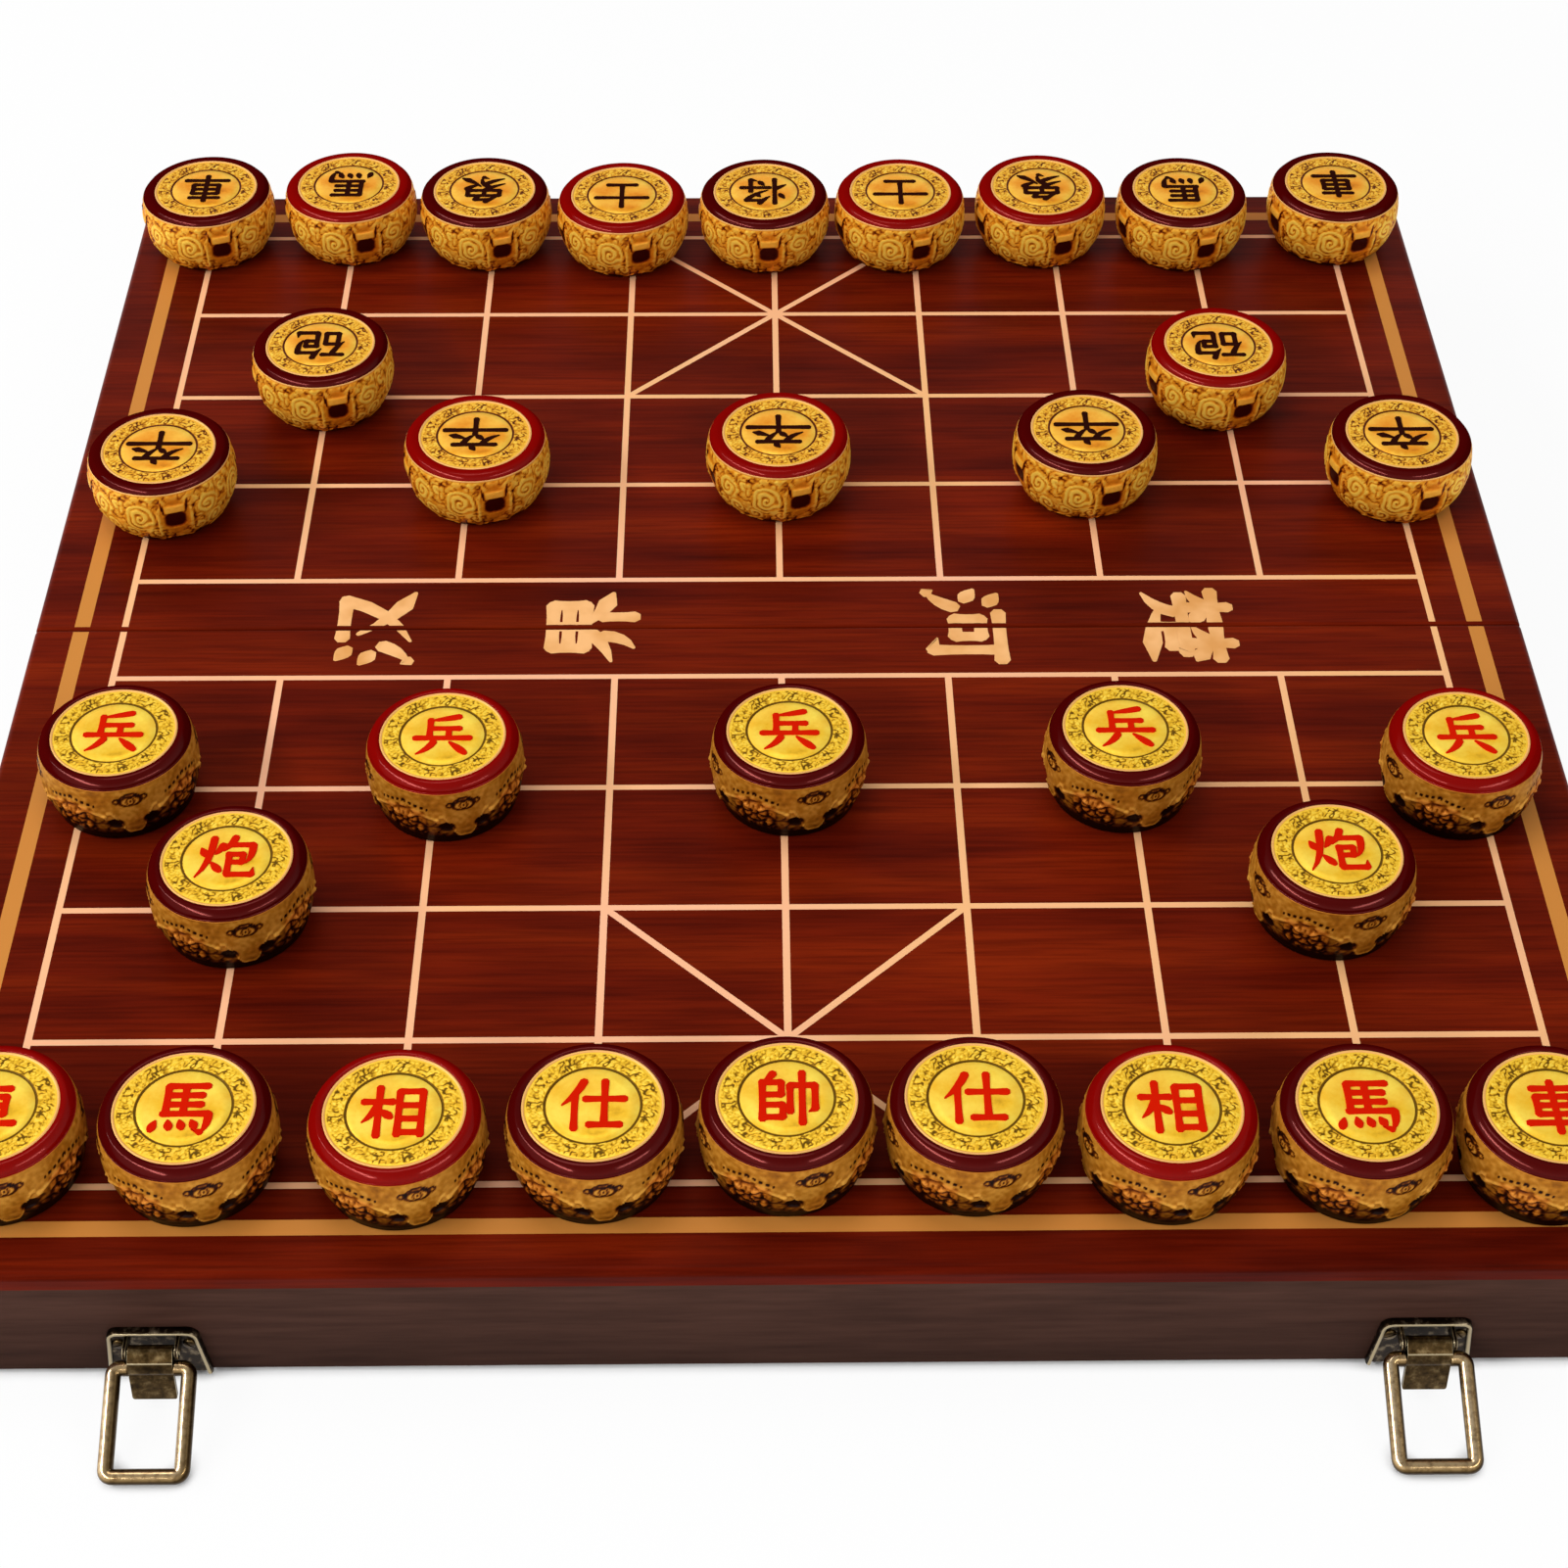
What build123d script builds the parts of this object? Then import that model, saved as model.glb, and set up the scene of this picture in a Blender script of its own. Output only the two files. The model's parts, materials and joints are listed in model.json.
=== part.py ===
# Folding Chinese chess box, opened flat as a board, with its thirty-two men on it.
# Two shallow trays hang on hinges along one edge. Opened right out and laid face down, their
# backs make the board. Shut, they make a flat case, held by two draw latches on the front.
from build123d import *
from math import atan2, cos, degrees, hypot, radians, sin
import os

os.makedirs("parts", exist_ok=True)

# ---- the grid of the board, in mm
file_pitch = 50.0
row_pitch = 47.4
river_width = 44.7
margin = 27.3
line_width = 2.0
band_width = 4.8
band_offset = 13.0
inlay_depth = 0.4
files = 9
rows = 5
palace_rows = 2

# ---- the two trays
tray_height = 40.5
panel_thick = 5.5
rail_thick = 10.0
overhang = 0.8
corner_radius = 4.0
edge_radius = 2.0
seam_radius = 0.9
seam_gap = 0.5
lining_thick = 1.5
lining_reveal = 3.0

# ---- butt hinges: the axis runs along the seam at the rims
hinge_reach = 150.0
knuckle_radius = 1.75
knuckle_length = 12.6
knuckle_count = 3
knuckle_play = 0.2
leaf_width = 7.4
leaf_thick = 1.2
rim_gap = 0.3
hinge_pin_radius = 0.9
running_fit = 0.05
clearance = 0.3

# ---- wood screws
screw_radius = 1.2
screw_head_radius = 1.8
screw_head_height = 0.7
plate_screw_length = 7.0

# ---- draw latches: a dished plate, a cranked lever and a wire bail that reaches over the rim
latch_reach = 160.0
plate_edge = 4.3
plate_taper = 3.2
plate_height = 18.0
plate_foot = 0.3
plate_depth = 2.2
plate_base = 1.0
plate_frame = 1.2
plate_corner = 3.0
plate_screw_play = 0.1
plate_screw_height = 12.4
ear_thick = 1.0
ear_radius = 1.9
latch_pin_radius = 0.9
latch_pin_out = 4.8
latch_pin_height = 14.0
lever_width = 11.3
lever_thick = 1.7
lever_arm = 4.2
lever_arm_drop = 55.0
lever_tab = 9.5
lever_tab_drop = 75.0
lever_swing = 148.0
side_play = 0.35
wire_radius = 2.0
bail_play = 0.5
bail_shoulder = 1.6
bail_corner = 2.8
bail_stub_radius = 0.95
bail_stub_depth = 2.4
bail_lift = 0.15

# ---- catches on the other tray
catch_width = 24.0
catch_height = 13.0
catch_foot = 0.5
catch_base = 1.0
catch_hook_width = 8.6
catch_hook_thick = 1.3
catch_hook_grip = 3.0
catch_screw_x = 8.6
catch_screw_height = 3.6
bail_below_rim = 8.5

# ---- the men
red_foot_radius = 19.4
red_belly_radius = 22.4
black_foot_radius = 16.9
black_belly_radius = 23.0
man_bowl_inset = 1.0
man_bowl_height = 7.0
man_belly_height = 17.0
man_ring_radius = 20.0
man_height = 23.6

# ---- levels and places worked out from the sizes above
outer_file = (files - 1) * file_pitch / 2
last_row = river_width / 2 + (rows - 1) * row_pitch
half_width = outer_file + margin
half_depth = last_row + margin
axis_z = knuckle_radius
rim_z = axis_z + rim_gap / 2
board_z = rim_z + tray_height
panel_z = board_z - panel_thick
wall_reach = half_depth - overhang
rail_inner = wall_reach - rail_thick
side_outer = half_width - overhang
side_inner = side_outer - rail_thick
seam_face = seam_gap / 2
seam_inner = seam_face + rail_thick
hinge_length = knuckle_count * knuckle_length
groove_radius = knuckle_radius + clearance
leaf_start = groove_radius
leaf_middle = leaf_start + leaf_width / 2

# Where the latch's moving parts lie, as out from the wall and up from the rim.
pivot_out = latch_pin_out + lever_arm * cos(radians(lever_arm_drop))
pivot_up = latch_pin_height - lever_arm * sin(radians(lever_arm_drop))
tip_out = pivot_out + lever_tab * cos(radians(lever_tab_drop))
tip_up = pivot_up - lever_tab * sin(radians(lever_tab_drop))
closed_angle = radians(lever_swing - lever_arm_drop)
closed_out = latch_pin_out + lever_arm * cos(closed_angle)
closed_up = latch_pin_height + lever_arm * sin(closed_angle)
bail_length = closed_up + bail_below_rim
bail_drop = pivot_up - (wire_radius + bail_lift - rim_z)
bail_reach = (bail_length**2 - bail_drop**2) ** 0.5
wire_start = lever_width / 2 + clearance
ear_inner = lever_width / 2 + side_play
ear_outer = ear_inner + ear_thick
leg_x = ear_outer + bail_play + wire_radius
plate_screw_x = ear_outer + plate_screw_play + screw_head_radius
plate_width = 2 * (plate_screw_x + plate_edge)
plate_top_width = plate_width - plate_taper
crook_up = bail_below_rim - rim_gap - wire_radius - clearance
hook_out = closed_out + wire_radius + clearance

# The seam lies off the middle of the whole, because the bails reach further out than the catches.
near_reach = wall_reach + pivot_out + bail_reach + wire_radius
far_reach = wall_reach + hook_out + catch_hook_thick
seam_y = (near_reach - far_reach) / 2

sides = {"far": 1, "near": -1}
hands = {"left": -1, "right": 1}


def save(builder, name):
    """Label a finished piece and write it to its own file."""
    builder.part.label = name
    export_step(builder.part, f"parts/{name}.step")


def tray_plane(side, height):
    """A level plane whose Y runs away from the seam, on one side of it."""
    return Plane(origin=(0, seam_y, height), x_dir=(side, 0, 0), z_dir=(0, 0, 1))


def wall_plane(side, x):
    """The face of an outer wall: X along the wall, Y up from the rim, Z outwards."""
    origin = (x, seam_y + side * wall_reach, rim_z)
    return Plane(origin=origin, x_dir=(-side, 0, 0), z_dir=(0, side, 0))


def section_plane(side, x):
    """A cut across an outer wall: X outwards from the wall, Y up from the rim."""
    origin = (x, seam_y + side * wall_reach, rim_z)
    return Plane(origin=origin, x_dir=(0, side, 0), z_dir=(side, 0, 0))


def axle_plane(x):
    """A plane square to the fold's axis, centred on it."""
    return Plane(origin=(x, seam_y, axis_z), x_dir=(0, 1, 0), z_dir=(1, 0, 0))


# ---- board inlay: the grid, the palace and the border, let into the wood of each half
def board_lines(side):
    seam_end = seam_face + seam_radius
    palace_deep = palace_rows * row_pitch
    palace_wide = 2 * file_pitch
    palace_tilt = degrees(atan2(palace_deep, palace_wide))
    border_x = outer_file + band_offset
    border_y = last_row + band_offset
    with BuildPart() as lines:
        with BuildSketch(tray_plane(side, board_z - inlay_depth)):
            for count in range(files):
                crosses_river = count in (0, files - 1)
                start = seam_end if crosses_river else river_width / 2
                with Locations((count * file_pitch - outer_file, (start + last_row) / 2)):
                    Rectangle(line_width, last_row - start)
            for count in range(rows):
                with Locations((0, river_width / 2 + count * row_pitch)):
                    Rectangle(2 * outer_file + line_width, line_width)
            for turn in (palace_tilt, -palace_tilt):
                with Locations(Location((0, last_row - palace_deep / 2, 0), (0, 0, turn))):
                    Rectangle(hypot(palace_wide, palace_deep), line_width)
            with Locations((-border_x, (seam_end + border_y) / 2), (border_x, (seam_end + border_y) / 2)):
                Rectangle(band_width, border_y - seam_end)
            with Locations((0, border_y)):
                Rectangle(2 * border_x + band_width, band_width)
        extrude(amount=inlay_depth)
    return lines


# ---- board halves: a lacquered panel with rounded edges, grooved for the inlay
def board_panel(side, lines):
    with BuildPart() as panel:
        with BuildSketch(tray_plane(side, panel_z)):
            with Locations((0, (seam_face + half_depth) / 2)):
                Rectangle(2 * half_width, half_depth - seam_face)
        extrude(amount=panel_thick)
        corners = panel.edges().filter_by(Axis.Z).sort_by(lambda edge: abs(edge.center().Y - seam_y))
        fillet(corners[-2:], corner_radius)
        top = panel.faces().sort_by(Axis.Z)[-1]
        outer = [edge for edge in top.edges() if abs(edge.center().Y - seam_y) > seam_gap]
        fillet(outer, edge_radius)
        seam = panel.faces().sort_by(lambda face: abs(face.center().Y - seam_y))[0]
        upper = [edge for edge in seam.edges() if edge.center().Z > board_z - edge_radius]
        fillet(upper, seam_radius)
        add(lines.part, mode=Mode.SUBTRACT)
    return panel


# ---- tray walls: two long rails and two short ones under each panel
def outer_rail(side, screw_holes):
    """The rail away from the seam, with pilot holes for the hardware on its face."""
    with BuildPart() as rail:
        with BuildSketch(tray_plane(side, rim_z)):
            with Locations((0, wall_reach - rail_thick / 2)):
                Rectangle(2 * side_outer, rail_thick)
        extrude(amount=panel_z - rim_z)
        corners = rail.edges().filter_by(Axis.Z).sort_by(lambda edge: abs(edge.center().Y - seam_y))
        fillet(corners[-2:], corner_radius - overhang)
        for x in (-latch_reach, latch_reach):
            with BuildSketch(wall_plane(side, x)):
                with Locations(*screw_holes):
                    Circle(screw_radius + running_fit)
            extrude(amount=-plate_screw_length, mode=Mode.SUBTRACT)
    return rail


def seam_rail(side):
    """The rail at the seam, mortised for the leaves and grooved for the knuckles."""
    mortise_end = leaf_start + leaf_width + running_fit
    with BuildPart() as rail:
        with BuildSketch(tray_plane(side, rim_z)):
            with Locations((0, (seam_face + seam_inner) / 2)):
                Rectangle(2 * side_outer, rail_thick)
        extrude(amount=panel_z - rim_z)
        with BuildSketch(tray_plane(side, rim_z)):
            with Locations((-hinge_reach, mortise_end / 2), (hinge_reach, mortise_end / 2)):
                Rectangle(hinge_length + 2 * running_fit, mortise_end)
        extrude(amount=leaf_thick, mode=Mode.SUBTRACT)
        for x in (-hinge_reach, hinge_reach):
            with BuildSketch(axle_plane(x)):
                Circle(groove_radius)
            extrude(amount=hinge_length / 2 + running_fit, both=True, mode=Mode.SUBTRACT)
    return rail


def side_rail(side, hand):
    with BuildPart() as rail:
        with BuildSketch(tray_plane(side, rim_z)):
            with Locations((side * hand * (side_inner + side_outer) / 2, (seam_inner + rail_inner) / 2)):
                Rectangle(rail_thick, rail_inner - seam_inner)
        extrude(amount=panel_z - rim_z)
    return rail


# ---- lining: a soft tray of felt glued to the back of the panel and the insides of the rails
def felt_lining(side):
    with BuildPart() as lining:
        with BuildSketch(tray_plane(side, rim_z + lining_reveal)):
            with Locations((0, (seam_inner + rail_inner) / 2)):
                Rectangle(2 * side_inner, rail_inner - seam_inner)
        extrude(amount=panel_z - rim_z - lining_reveal)
        opening = lining.faces().sort_by(Axis.Z)[0]
        offset(amount=-lining_thick, openings=opening)
    return lining


# ---- hinge leaves: each a flat leaf in its mortise, rolled into every second knuckle
def hinge_leaves(side, first):
    with BuildPart() as leaves:
        for x in (-hinge_reach, hinge_reach):
            starts = [x - hinge_length / 2 + count * knuckle_length for count in range(first, knuckle_count, 2)]
            with BuildSketch(tray_plane(side, rim_z)):
                with Locations((side * x, leaf_middle)):
                    Rectangle(hinge_length, leaf_width)
                for start in starts:
                    with Locations((side * (start + knuckle_length / 2), leaf_start / 2 + running_fit)):
                        Rectangle(knuckle_length - knuckle_play, leaf_start)
            extrude(amount=leaf_thick)
            for start in starts:
                with BuildSketch(axle_plane(start + knuckle_play / 2)):
                    Circle(knuckle_radius)
                extrude(amount=knuckle_length - knuckle_play)
            with BuildSketch(axle_plane(x)):
                Circle(hinge_pin_radius + running_fit)
            extrude(amount=hinge_length / 2, both=True, mode=Mode.SUBTRACT)
    return leaves


def hinge_pins():
    with BuildPart() as pins:
        for x in (-hinge_reach, hinge_reach):
            with BuildSketch(axle_plane(x)):
                Circle(hinge_pin_radius)
            extrude(amount=hinge_length / 2 - knuckle_play / 2, both=True)
    return pins


# ---- latch plates: dished plates on the front rail, each with two ears for the lever's pin
def latch_plates(side):
    with BuildPart() as plates:
        for x in (-latch_reach, latch_reach):
            face = wall_plane(side, x)
            with BuildSketch(face) as outline:
                with BuildLine():
                    Polyline(
                        (-plate_width / 2, plate_foot),
                        (plate_width / 2, plate_foot),
                        (plate_top_width / 2, plate_height),
                        (-plate_top_width / 2, plate_height),
                        close=True,
                    )
                make_face()
                fillet(outline.vertices().group_by(Axis.Z)[-1], plate_corner)
            extrude(amount=plate_depth)
            with BuildSketch(face.offset(plate_base)) as dish:
                with BuildLine():
                    Polyline(
                        (plate_frame - plate_width / 2, plate_foot),
                        (plate_width / 2 - plate_frame, plate_foot),
                        (plate_top_width / 2 - plate_frame, plate_height - plate_frame),
                        (plate_frame - plate_top_width / 2, plate_height - plate_frame),
                        close=True,
                    )
                make_face()
                fillet(dish.vertices().group_by(Axis.Z)[-1], plate_corner - plate_frame)
            extrude(amount=plate_depth, mode=Mode.SUBTRACT)
            for hand in hands.values():
                with BuildSketch(section_plane(side, x + hand * (ear_inner + ear_thick / 2))):
                    with Locations((latch_pin_out, latch_pin_height)):
                        Circle(ear_radius)
                    with Locations((latch_pin_out / 2, latch_pin_height)):
                        Rectangle(latch_pin_out, 2 * ear_radius)
                    with Locations((latch_pin_out, latch_pin_height)):
                        Circle(latch_pin_radius + running_fit, mode=Mode.SUBTRACT)
                extrude(amount=ear_thick / 2, both=True)
            with BuildSketch(face):
                with Locations((-plate_screw_x, plate_screw_height), (plate_screw_x, plate_screw_height)):
                    Circle(screw_radius + running_fit)
            extrude(amount=plate_depth, mode=Mode.SUBTRACT)
    return plates


def latch_pins(side):
    with BuildPart() as pins:
        for x in (-latch_reach, latch_reach):
            with BuildSketch(section_plane(side, x)):
                with Locations((latch_pin_out, latch_pin_height)):
                    Circle(latch_pin_radius)
            extrude(amount=ear_outer, both=True)
    return pins


def plate_screws(side, base, places):
    """Screws through a plate of the given thickness, into the rail behind it."""
    with BuildPart() as screws:
        for x in (-latch_reach, latch_reach):
            with BuildSketch(wall_plane(side, x).offset(base)):
                with Locations(*places):
                    Circle(screw_radius)
            extrude(amount=running_fit - base - plate_screw_length)
            with BuildSketch(wall_plane(side, x).offset(base)):
                with Locations(*places):
                    Circle(screw_head_radius)
            extrude(amount=screw_head_height)
    return screws


# ---- latch levers: rolled round the pin, cranked at the bail's pivot, with a finger tab
def latch_lever(side, x):
    with BuildPart() as lever:
        with BuildSketch(section_plane(side, x)):
            with BuildLine():
                Polyline((latch_pin_out, latch_pin_height), (pivot_out, pivot_up), (tip_out, tip_up))
                offset(amount=lever_thick / 2)
            make_face()
            with Locations((latch_pin_out, latch_pin_height), (pivot_out, pivot_up)):
                Circle(ear_radius)
            with Locations((latch_pin_out, latch_pin_height)):
                Circle(latch_pin_radius + running_fit, mode=Mode.SUBTRACT)
        extrude(amount=lever_width / 2, both=True)
        for hand in hands.values():
            with BuildSketch(section_plane(side, x + hand * lever_width / 2)):
                with Locations((pivot_out, pivot_up)):
                    Circle(bail_stub_radius + running_fit)
            extrude(amount=-hand * side * (bail_stub_depth + clearance), mode=Mode.SUBTRACT)
    return lever


# ---- latch bails: one bent wire, its turned-in ends thinned to stubs that sit in the lever
def latch_bail(side, x):
    tilt = atan2(bail_drop, bail_reach)
    wall = section_plane(side, x)
    origin = wall.from_local_coords((pivot_out, pivot_up, 0))
    leg = wall.from_local_coords((pivot_out + cos(tilt), pivot_up - sin(tilt), 0)) - origin
    flat = Plane(origin=origin, x_dir=(1, 0, 0), z_dir=Vector(1, 0, 0).cross(leg))
    with BuildPart() as bail:
        with BuildLine(flat) as path:
            Polyline(
                (-wire_start, 0),
                (bail_shoulder - leg_x, 0),
                (-leg_x, bail_shoulder),
                (-leg_x, bail_length - bail_corner),
                (bail_corner - leg_x, bail_length),
                (leg_x - bail_corner, bail_length),
                (leg_x, bail_length - bail_corner),
                (leg_x, bail_shoulder),
                (leg_x - bail_shoulder, 0),
                (wire_start, 0),
            )
        with BuildSketch(Plane(origin=path.line @ 0, z_dir=path.line % 0)):
            Circle(wire_radius)
        sweep(transition=Transition.RIGHT)
        for hand in hands.values():
            with BuildSketch(Plane(origin=origin, z_dir=(hand, 0, 0)).offset(lever_width / 2 - bail_stub_depth)):
                Circle(bail_stub_radius)
            extrude(amount=bail_stub_depth + 2 * clearance)
    return bail


# ---- catches: plates on the far wall with an upturned hook that the bail drops behind
def catches(side):
    hook_top = crook_up + catch_hook_grip
    with BuildPart() as plates:
        for x in (-latch_reach, latch_reach):
            with BuildSketch(wall_plane(side, x)) as outline:
                with Locations((0, catch_foot + catch_height / 2)):
                    RectangleRounded(catch_width, catch_height, plate_corner)
                with Locations((-catch_screw_x, catch_screw_height), (catch_screw_x, catch_screw_height)):
                    Circle(screw_radius + running_fit, mode=Mode.SUBTRACT)
            extrude(amount=catch_base)
            with BuildSketch(section_plane(side, x)):
                with BuildLine():
                    Polyline(
                        (0, crook_up),
                        (hook_out, crook_up),
                        (hook_out, hook_top),
                        (hook_out + catch_hook_thick, hook_top),
                        (hook_out + catch_hook_thick, crook_up - catch_hook_thick),
                        (0, crook_up - catch_hook_thick),
                        close=True,
                    )
                make_face()
            extrude(amount=catch_hook_width / 2, both=True)
    return plates


# ---- the men: round drums that swell from a narrow foot and turn in at the ring on top
def turned_man(foot_radius, belly_radius):
    with BuildPart() as man:
        with BuildSketch(Plane.XZ):
            with BuildLine():
                Polyline(
                    (0, 0),
                    (foot_radius, 0),
                    (belly_radius - man_bowl_inset, man_bowl_height),
                    (belly_radius, man_belly_height),
                    (man_ring_radius, man_height),
                    (0, man_height),
                    close=True,
                )
            make_face()
        revolve(axis=Axis.Z)
    return man.part


def man_at(drum, side, file, row, nudge_x, nudge_in):
    """One man standing near a point of the grid, as far off it as a hand leaves him."""
    x = (file - (files - 1) / 2) * file_pitch + nudge_x
    y = seam_y + side * (river_width / 2 + row * row_pitch - nudge_in)
    with BuildPart() as man:
        with Locations((x, y, board_z)):
            add(drum)
    return man


# Each man's file from the left, then how far he stands to the right of his point and towards
# the river from it. Rows count from the river bank.
soldier_row = 1
cannon_row = 2
back_row = rows - 1
men = {
    ("red", "chariot_left", back_row): (0, 1.5, 7),
    ("red", "horse_left", back_row): (1, 0, 6.5),
    ("red", "elephant_left", back_row): (2, 2, 5),
    ("red", "advisor_left", back_row): (3, 1, 6.5),
    ("red", "general", back_row): (4, -1, 8.5),
    ("red", "advisor_right", back_row): (5, -4, 8),
    ("red", "elephant_right", back_row): (6, -5.5, 5),
    ("red", "horse_right", back_row): (7, -7, 5),
    ("red", "chariot_right", back_row): (8, -10.5, 4),
    ("red", "cannon_left", cannon_row): (1, -0.5, -2.5),
    ("red", "cannon_right", cannon_row): (7, -1, -2),
    ("red", "soldier_1", soldier_row): (0, 11.5, -0.5),
    ("red", "soldier_2", soldier_row): (2, 4, -2.5),
    ("red", "soldier_3", soldier_row): (4, 1.5, -1),
    ("red", "soldier_4", soldier_row): (6, -3.5, -0.5),
    ("red", "soldier_5", soldier_row): (8, -7.5, -4),
    ("black", "chariot_left", back_row): (0, 0, 3.5),
    ("black", "horse_left", back_row): (1, 0, 1),
    ("black", "elephant_left", back_row): (2, -2, 4.5),
    ("black", "advisor_left", back_row): (3, -3.5, 8),
    ("black", "general", back_row): (4, -3.5, 6),
    ("black", "advisor_right", back_row): (5, -5.5, 6),
    ("black", "elephant_right", back_row): (6, -5.5, 3.5),
    ("black", "horse_right", back_row): (7, -5.5, 5.5),
    ("black", "chariot_right", back_row): (8, -1, 2),
    ("black", "cannon_left", cannon_row): (1, 0, 2),
    ("black", "cannon_right", cannon_row): (7, -4.5, 3.5),
    ("black", "soldier_1", soldier_row): (0, 5, 10),
    ("black", "soldier_2", soldier_row): (2, 4, 3.5),
    ("black", "soldier_3", soldier_row): (4, 0, 2.5),
    ("black", "soldier_4", soldier_row): (6, -2, 1.5),
    ("black", "soldier_5", soldier_row): (8, -2, 4.5),
}
armies = {
    "red": (turned_man(red_foot_radius, red_belly_radius), sides["near"]),
    "black": (turned_man(black_foot_radius, black_belly_radius), sides["far"]),
}

# ---- build and write every piece
plate_holes = [(-plate_screw_x, plate_screw_height), (plate_screw_x, plate_screw_height)]
catch_holes = [(-catch_screw_x, catch_screw_height), (catch_screw_x, catch_screw_height)]

for word, side in sides.items():
    inlay = board_lines(side)
    save(inlay, f"{word}_board_lines")
    save(board_panel(side, inlay), f"{word}_board_panel")
    save(seam_rail(side), f"{word}_seam_rail")
    save(felt_lining(side), f"{word}_felt_lining")
    save(hinge_leaves(side, 0 if side == sides["far"] else 1), f"{word}_hinge_leaves")
    for hand_word, hand in hands.items():
        save(side_rail(side, hand), f"{word}_{hand_word}_rail")

save(outer_rail(sides["near"], plate_holes), "near_front_rail")
save(outer_rail(sides["far"], catch_holes), "far_back_rail")
save(hinge_pins(), "hinge_pins")
save(latch_plates(sides["near"]), "latch_plates")
save(latch_pins(sides["near"]), "latch_pins")
save(plate_screws(sides["near"], plate_base, plate_holes), "latch_screws")
save(catches(sides["far"]), "latch_catches")
save(plate_screws(sides["far"], catch_base, catch_holes), "catch_screws")
for hand_word, hand in hands.items():
    save(latch_lever(sides["near"], hand * latch_reach), f"latch_lever_{hand_word}")
    save(latch_bail(sides["near"], hand * latch_reach), f"latch_bail_{hand_word}")
for (army, rank, row), (file, nudge_x, nudge_in) in men.items():
    drum, side = armies[army]
    save(man_at(drum, side, file, row, nudge_x, nudge_in), f"{army}_{rank}")
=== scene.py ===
import json
from math import atan2, cos, exp, hypot, pi, radians, sin

import bmesh
import bpy
from mathutils import Matrix, Vector, noise


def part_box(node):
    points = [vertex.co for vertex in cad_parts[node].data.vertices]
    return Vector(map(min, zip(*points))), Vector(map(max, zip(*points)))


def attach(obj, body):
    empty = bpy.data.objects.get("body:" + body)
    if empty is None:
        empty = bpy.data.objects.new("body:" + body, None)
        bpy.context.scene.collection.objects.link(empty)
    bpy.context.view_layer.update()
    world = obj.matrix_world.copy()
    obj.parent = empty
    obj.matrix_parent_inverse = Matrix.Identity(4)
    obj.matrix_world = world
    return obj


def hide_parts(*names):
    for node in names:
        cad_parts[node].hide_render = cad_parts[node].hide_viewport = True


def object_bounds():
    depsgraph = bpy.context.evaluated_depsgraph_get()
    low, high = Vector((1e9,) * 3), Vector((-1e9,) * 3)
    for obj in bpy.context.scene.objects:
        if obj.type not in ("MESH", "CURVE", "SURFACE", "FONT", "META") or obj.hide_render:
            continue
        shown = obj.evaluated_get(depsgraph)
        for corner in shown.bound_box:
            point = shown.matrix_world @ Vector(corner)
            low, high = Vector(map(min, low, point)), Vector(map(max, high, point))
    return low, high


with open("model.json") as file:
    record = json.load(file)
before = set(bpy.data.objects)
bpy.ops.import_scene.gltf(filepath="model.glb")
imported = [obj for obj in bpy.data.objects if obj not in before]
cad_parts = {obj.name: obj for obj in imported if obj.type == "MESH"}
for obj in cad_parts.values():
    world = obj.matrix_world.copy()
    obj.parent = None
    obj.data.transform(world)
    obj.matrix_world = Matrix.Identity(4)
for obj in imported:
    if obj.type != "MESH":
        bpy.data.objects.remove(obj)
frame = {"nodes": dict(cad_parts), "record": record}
cad_box = [list(corner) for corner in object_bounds()]

# ---- Board panels
# Two thin panels of a close-grained red wood, stained dark and finished in a satin lacquer.
# The grain runs along the fold, and the edges were rounded over before the lacquer went on.
nodes = frame["nodes"]
board_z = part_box("near_board_panel")[1].z
seam_y = (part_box("near_board_panel")[1].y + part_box("far_board_panel")[0].y) / 2


def paint(red, green, blue):
    """A colour as it is seen, 0 to 255, turned into the light it reflects."""
    return tuple(((c / 255 + 0.055) / 1.055) ** 2.4 if c > 10 else c / 255 / 12.92 for c in (red, green, blue))


def finish(name, colour, roughness, metallic=0.0, specular=0.5):
    """A plain finish, for its section to add grain, wear or tarnish to."""
    material = bpy.data.materials.new(name)
    material.use_nodes = True
    shader = material.node_tree.nodes["Principled BSDF"]
    shader.inputs["Base Color"].default_value = (*colour, 1)
    shader.inputs["Roughness"].default_value = roughness
    shader.inputs["Metallic"].default_value = metallic
    shader.inputs["Specular IOR Level"].default_value = specular
    return material


def node(material, kind, **values):
    made = material.node_tree.nodes.new("ShaderNode" + kind)
    for key, value in values.items():
        if key in made.inputs:
            made.inputs[key].default_value = value
        else:
            setattr(made, key, value)
    return made


def wire(material, source, target):
    material.node_tree.links.new(source, target)


def shader_of(material):
    return material.node_tree.nodes["Principled BSDF"]


def grain(material, stretch, size, detail=5.0, place="Object"):
    """Noise drawn out along an axis, by how many cycles a metre it has along each."""
    where = node(material, "TexCoord")
    drawn = node(material, "Mapping", Scale=stretch)
    noise = node(material, "TexNoise", Scale=size, Detail=detail, Roughness=0.6)
    wire(material, where.outputs[place], drawn.inputs["Vector"])
    wire(material, drawn.outputs["Vector"], noise.inputs["Vector"])
    return noise.outputs["Fac"]


def shades(material, value, *stops):
    """A run of colours over a value from 0 to 1."""
    ramp = node(material, "ValToRGB")
    bar = ramp.color_ramp.elements
    while len(bar) < len(stops):
        bar.new(0.5)
    for element, (at, colour) in zip(bar, stops):
        element.position = at
        element.color = (*colour, 1)
    wire(material, value, ramp.inputs["Fac"])
    return ramp.outputs["Color"]


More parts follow.
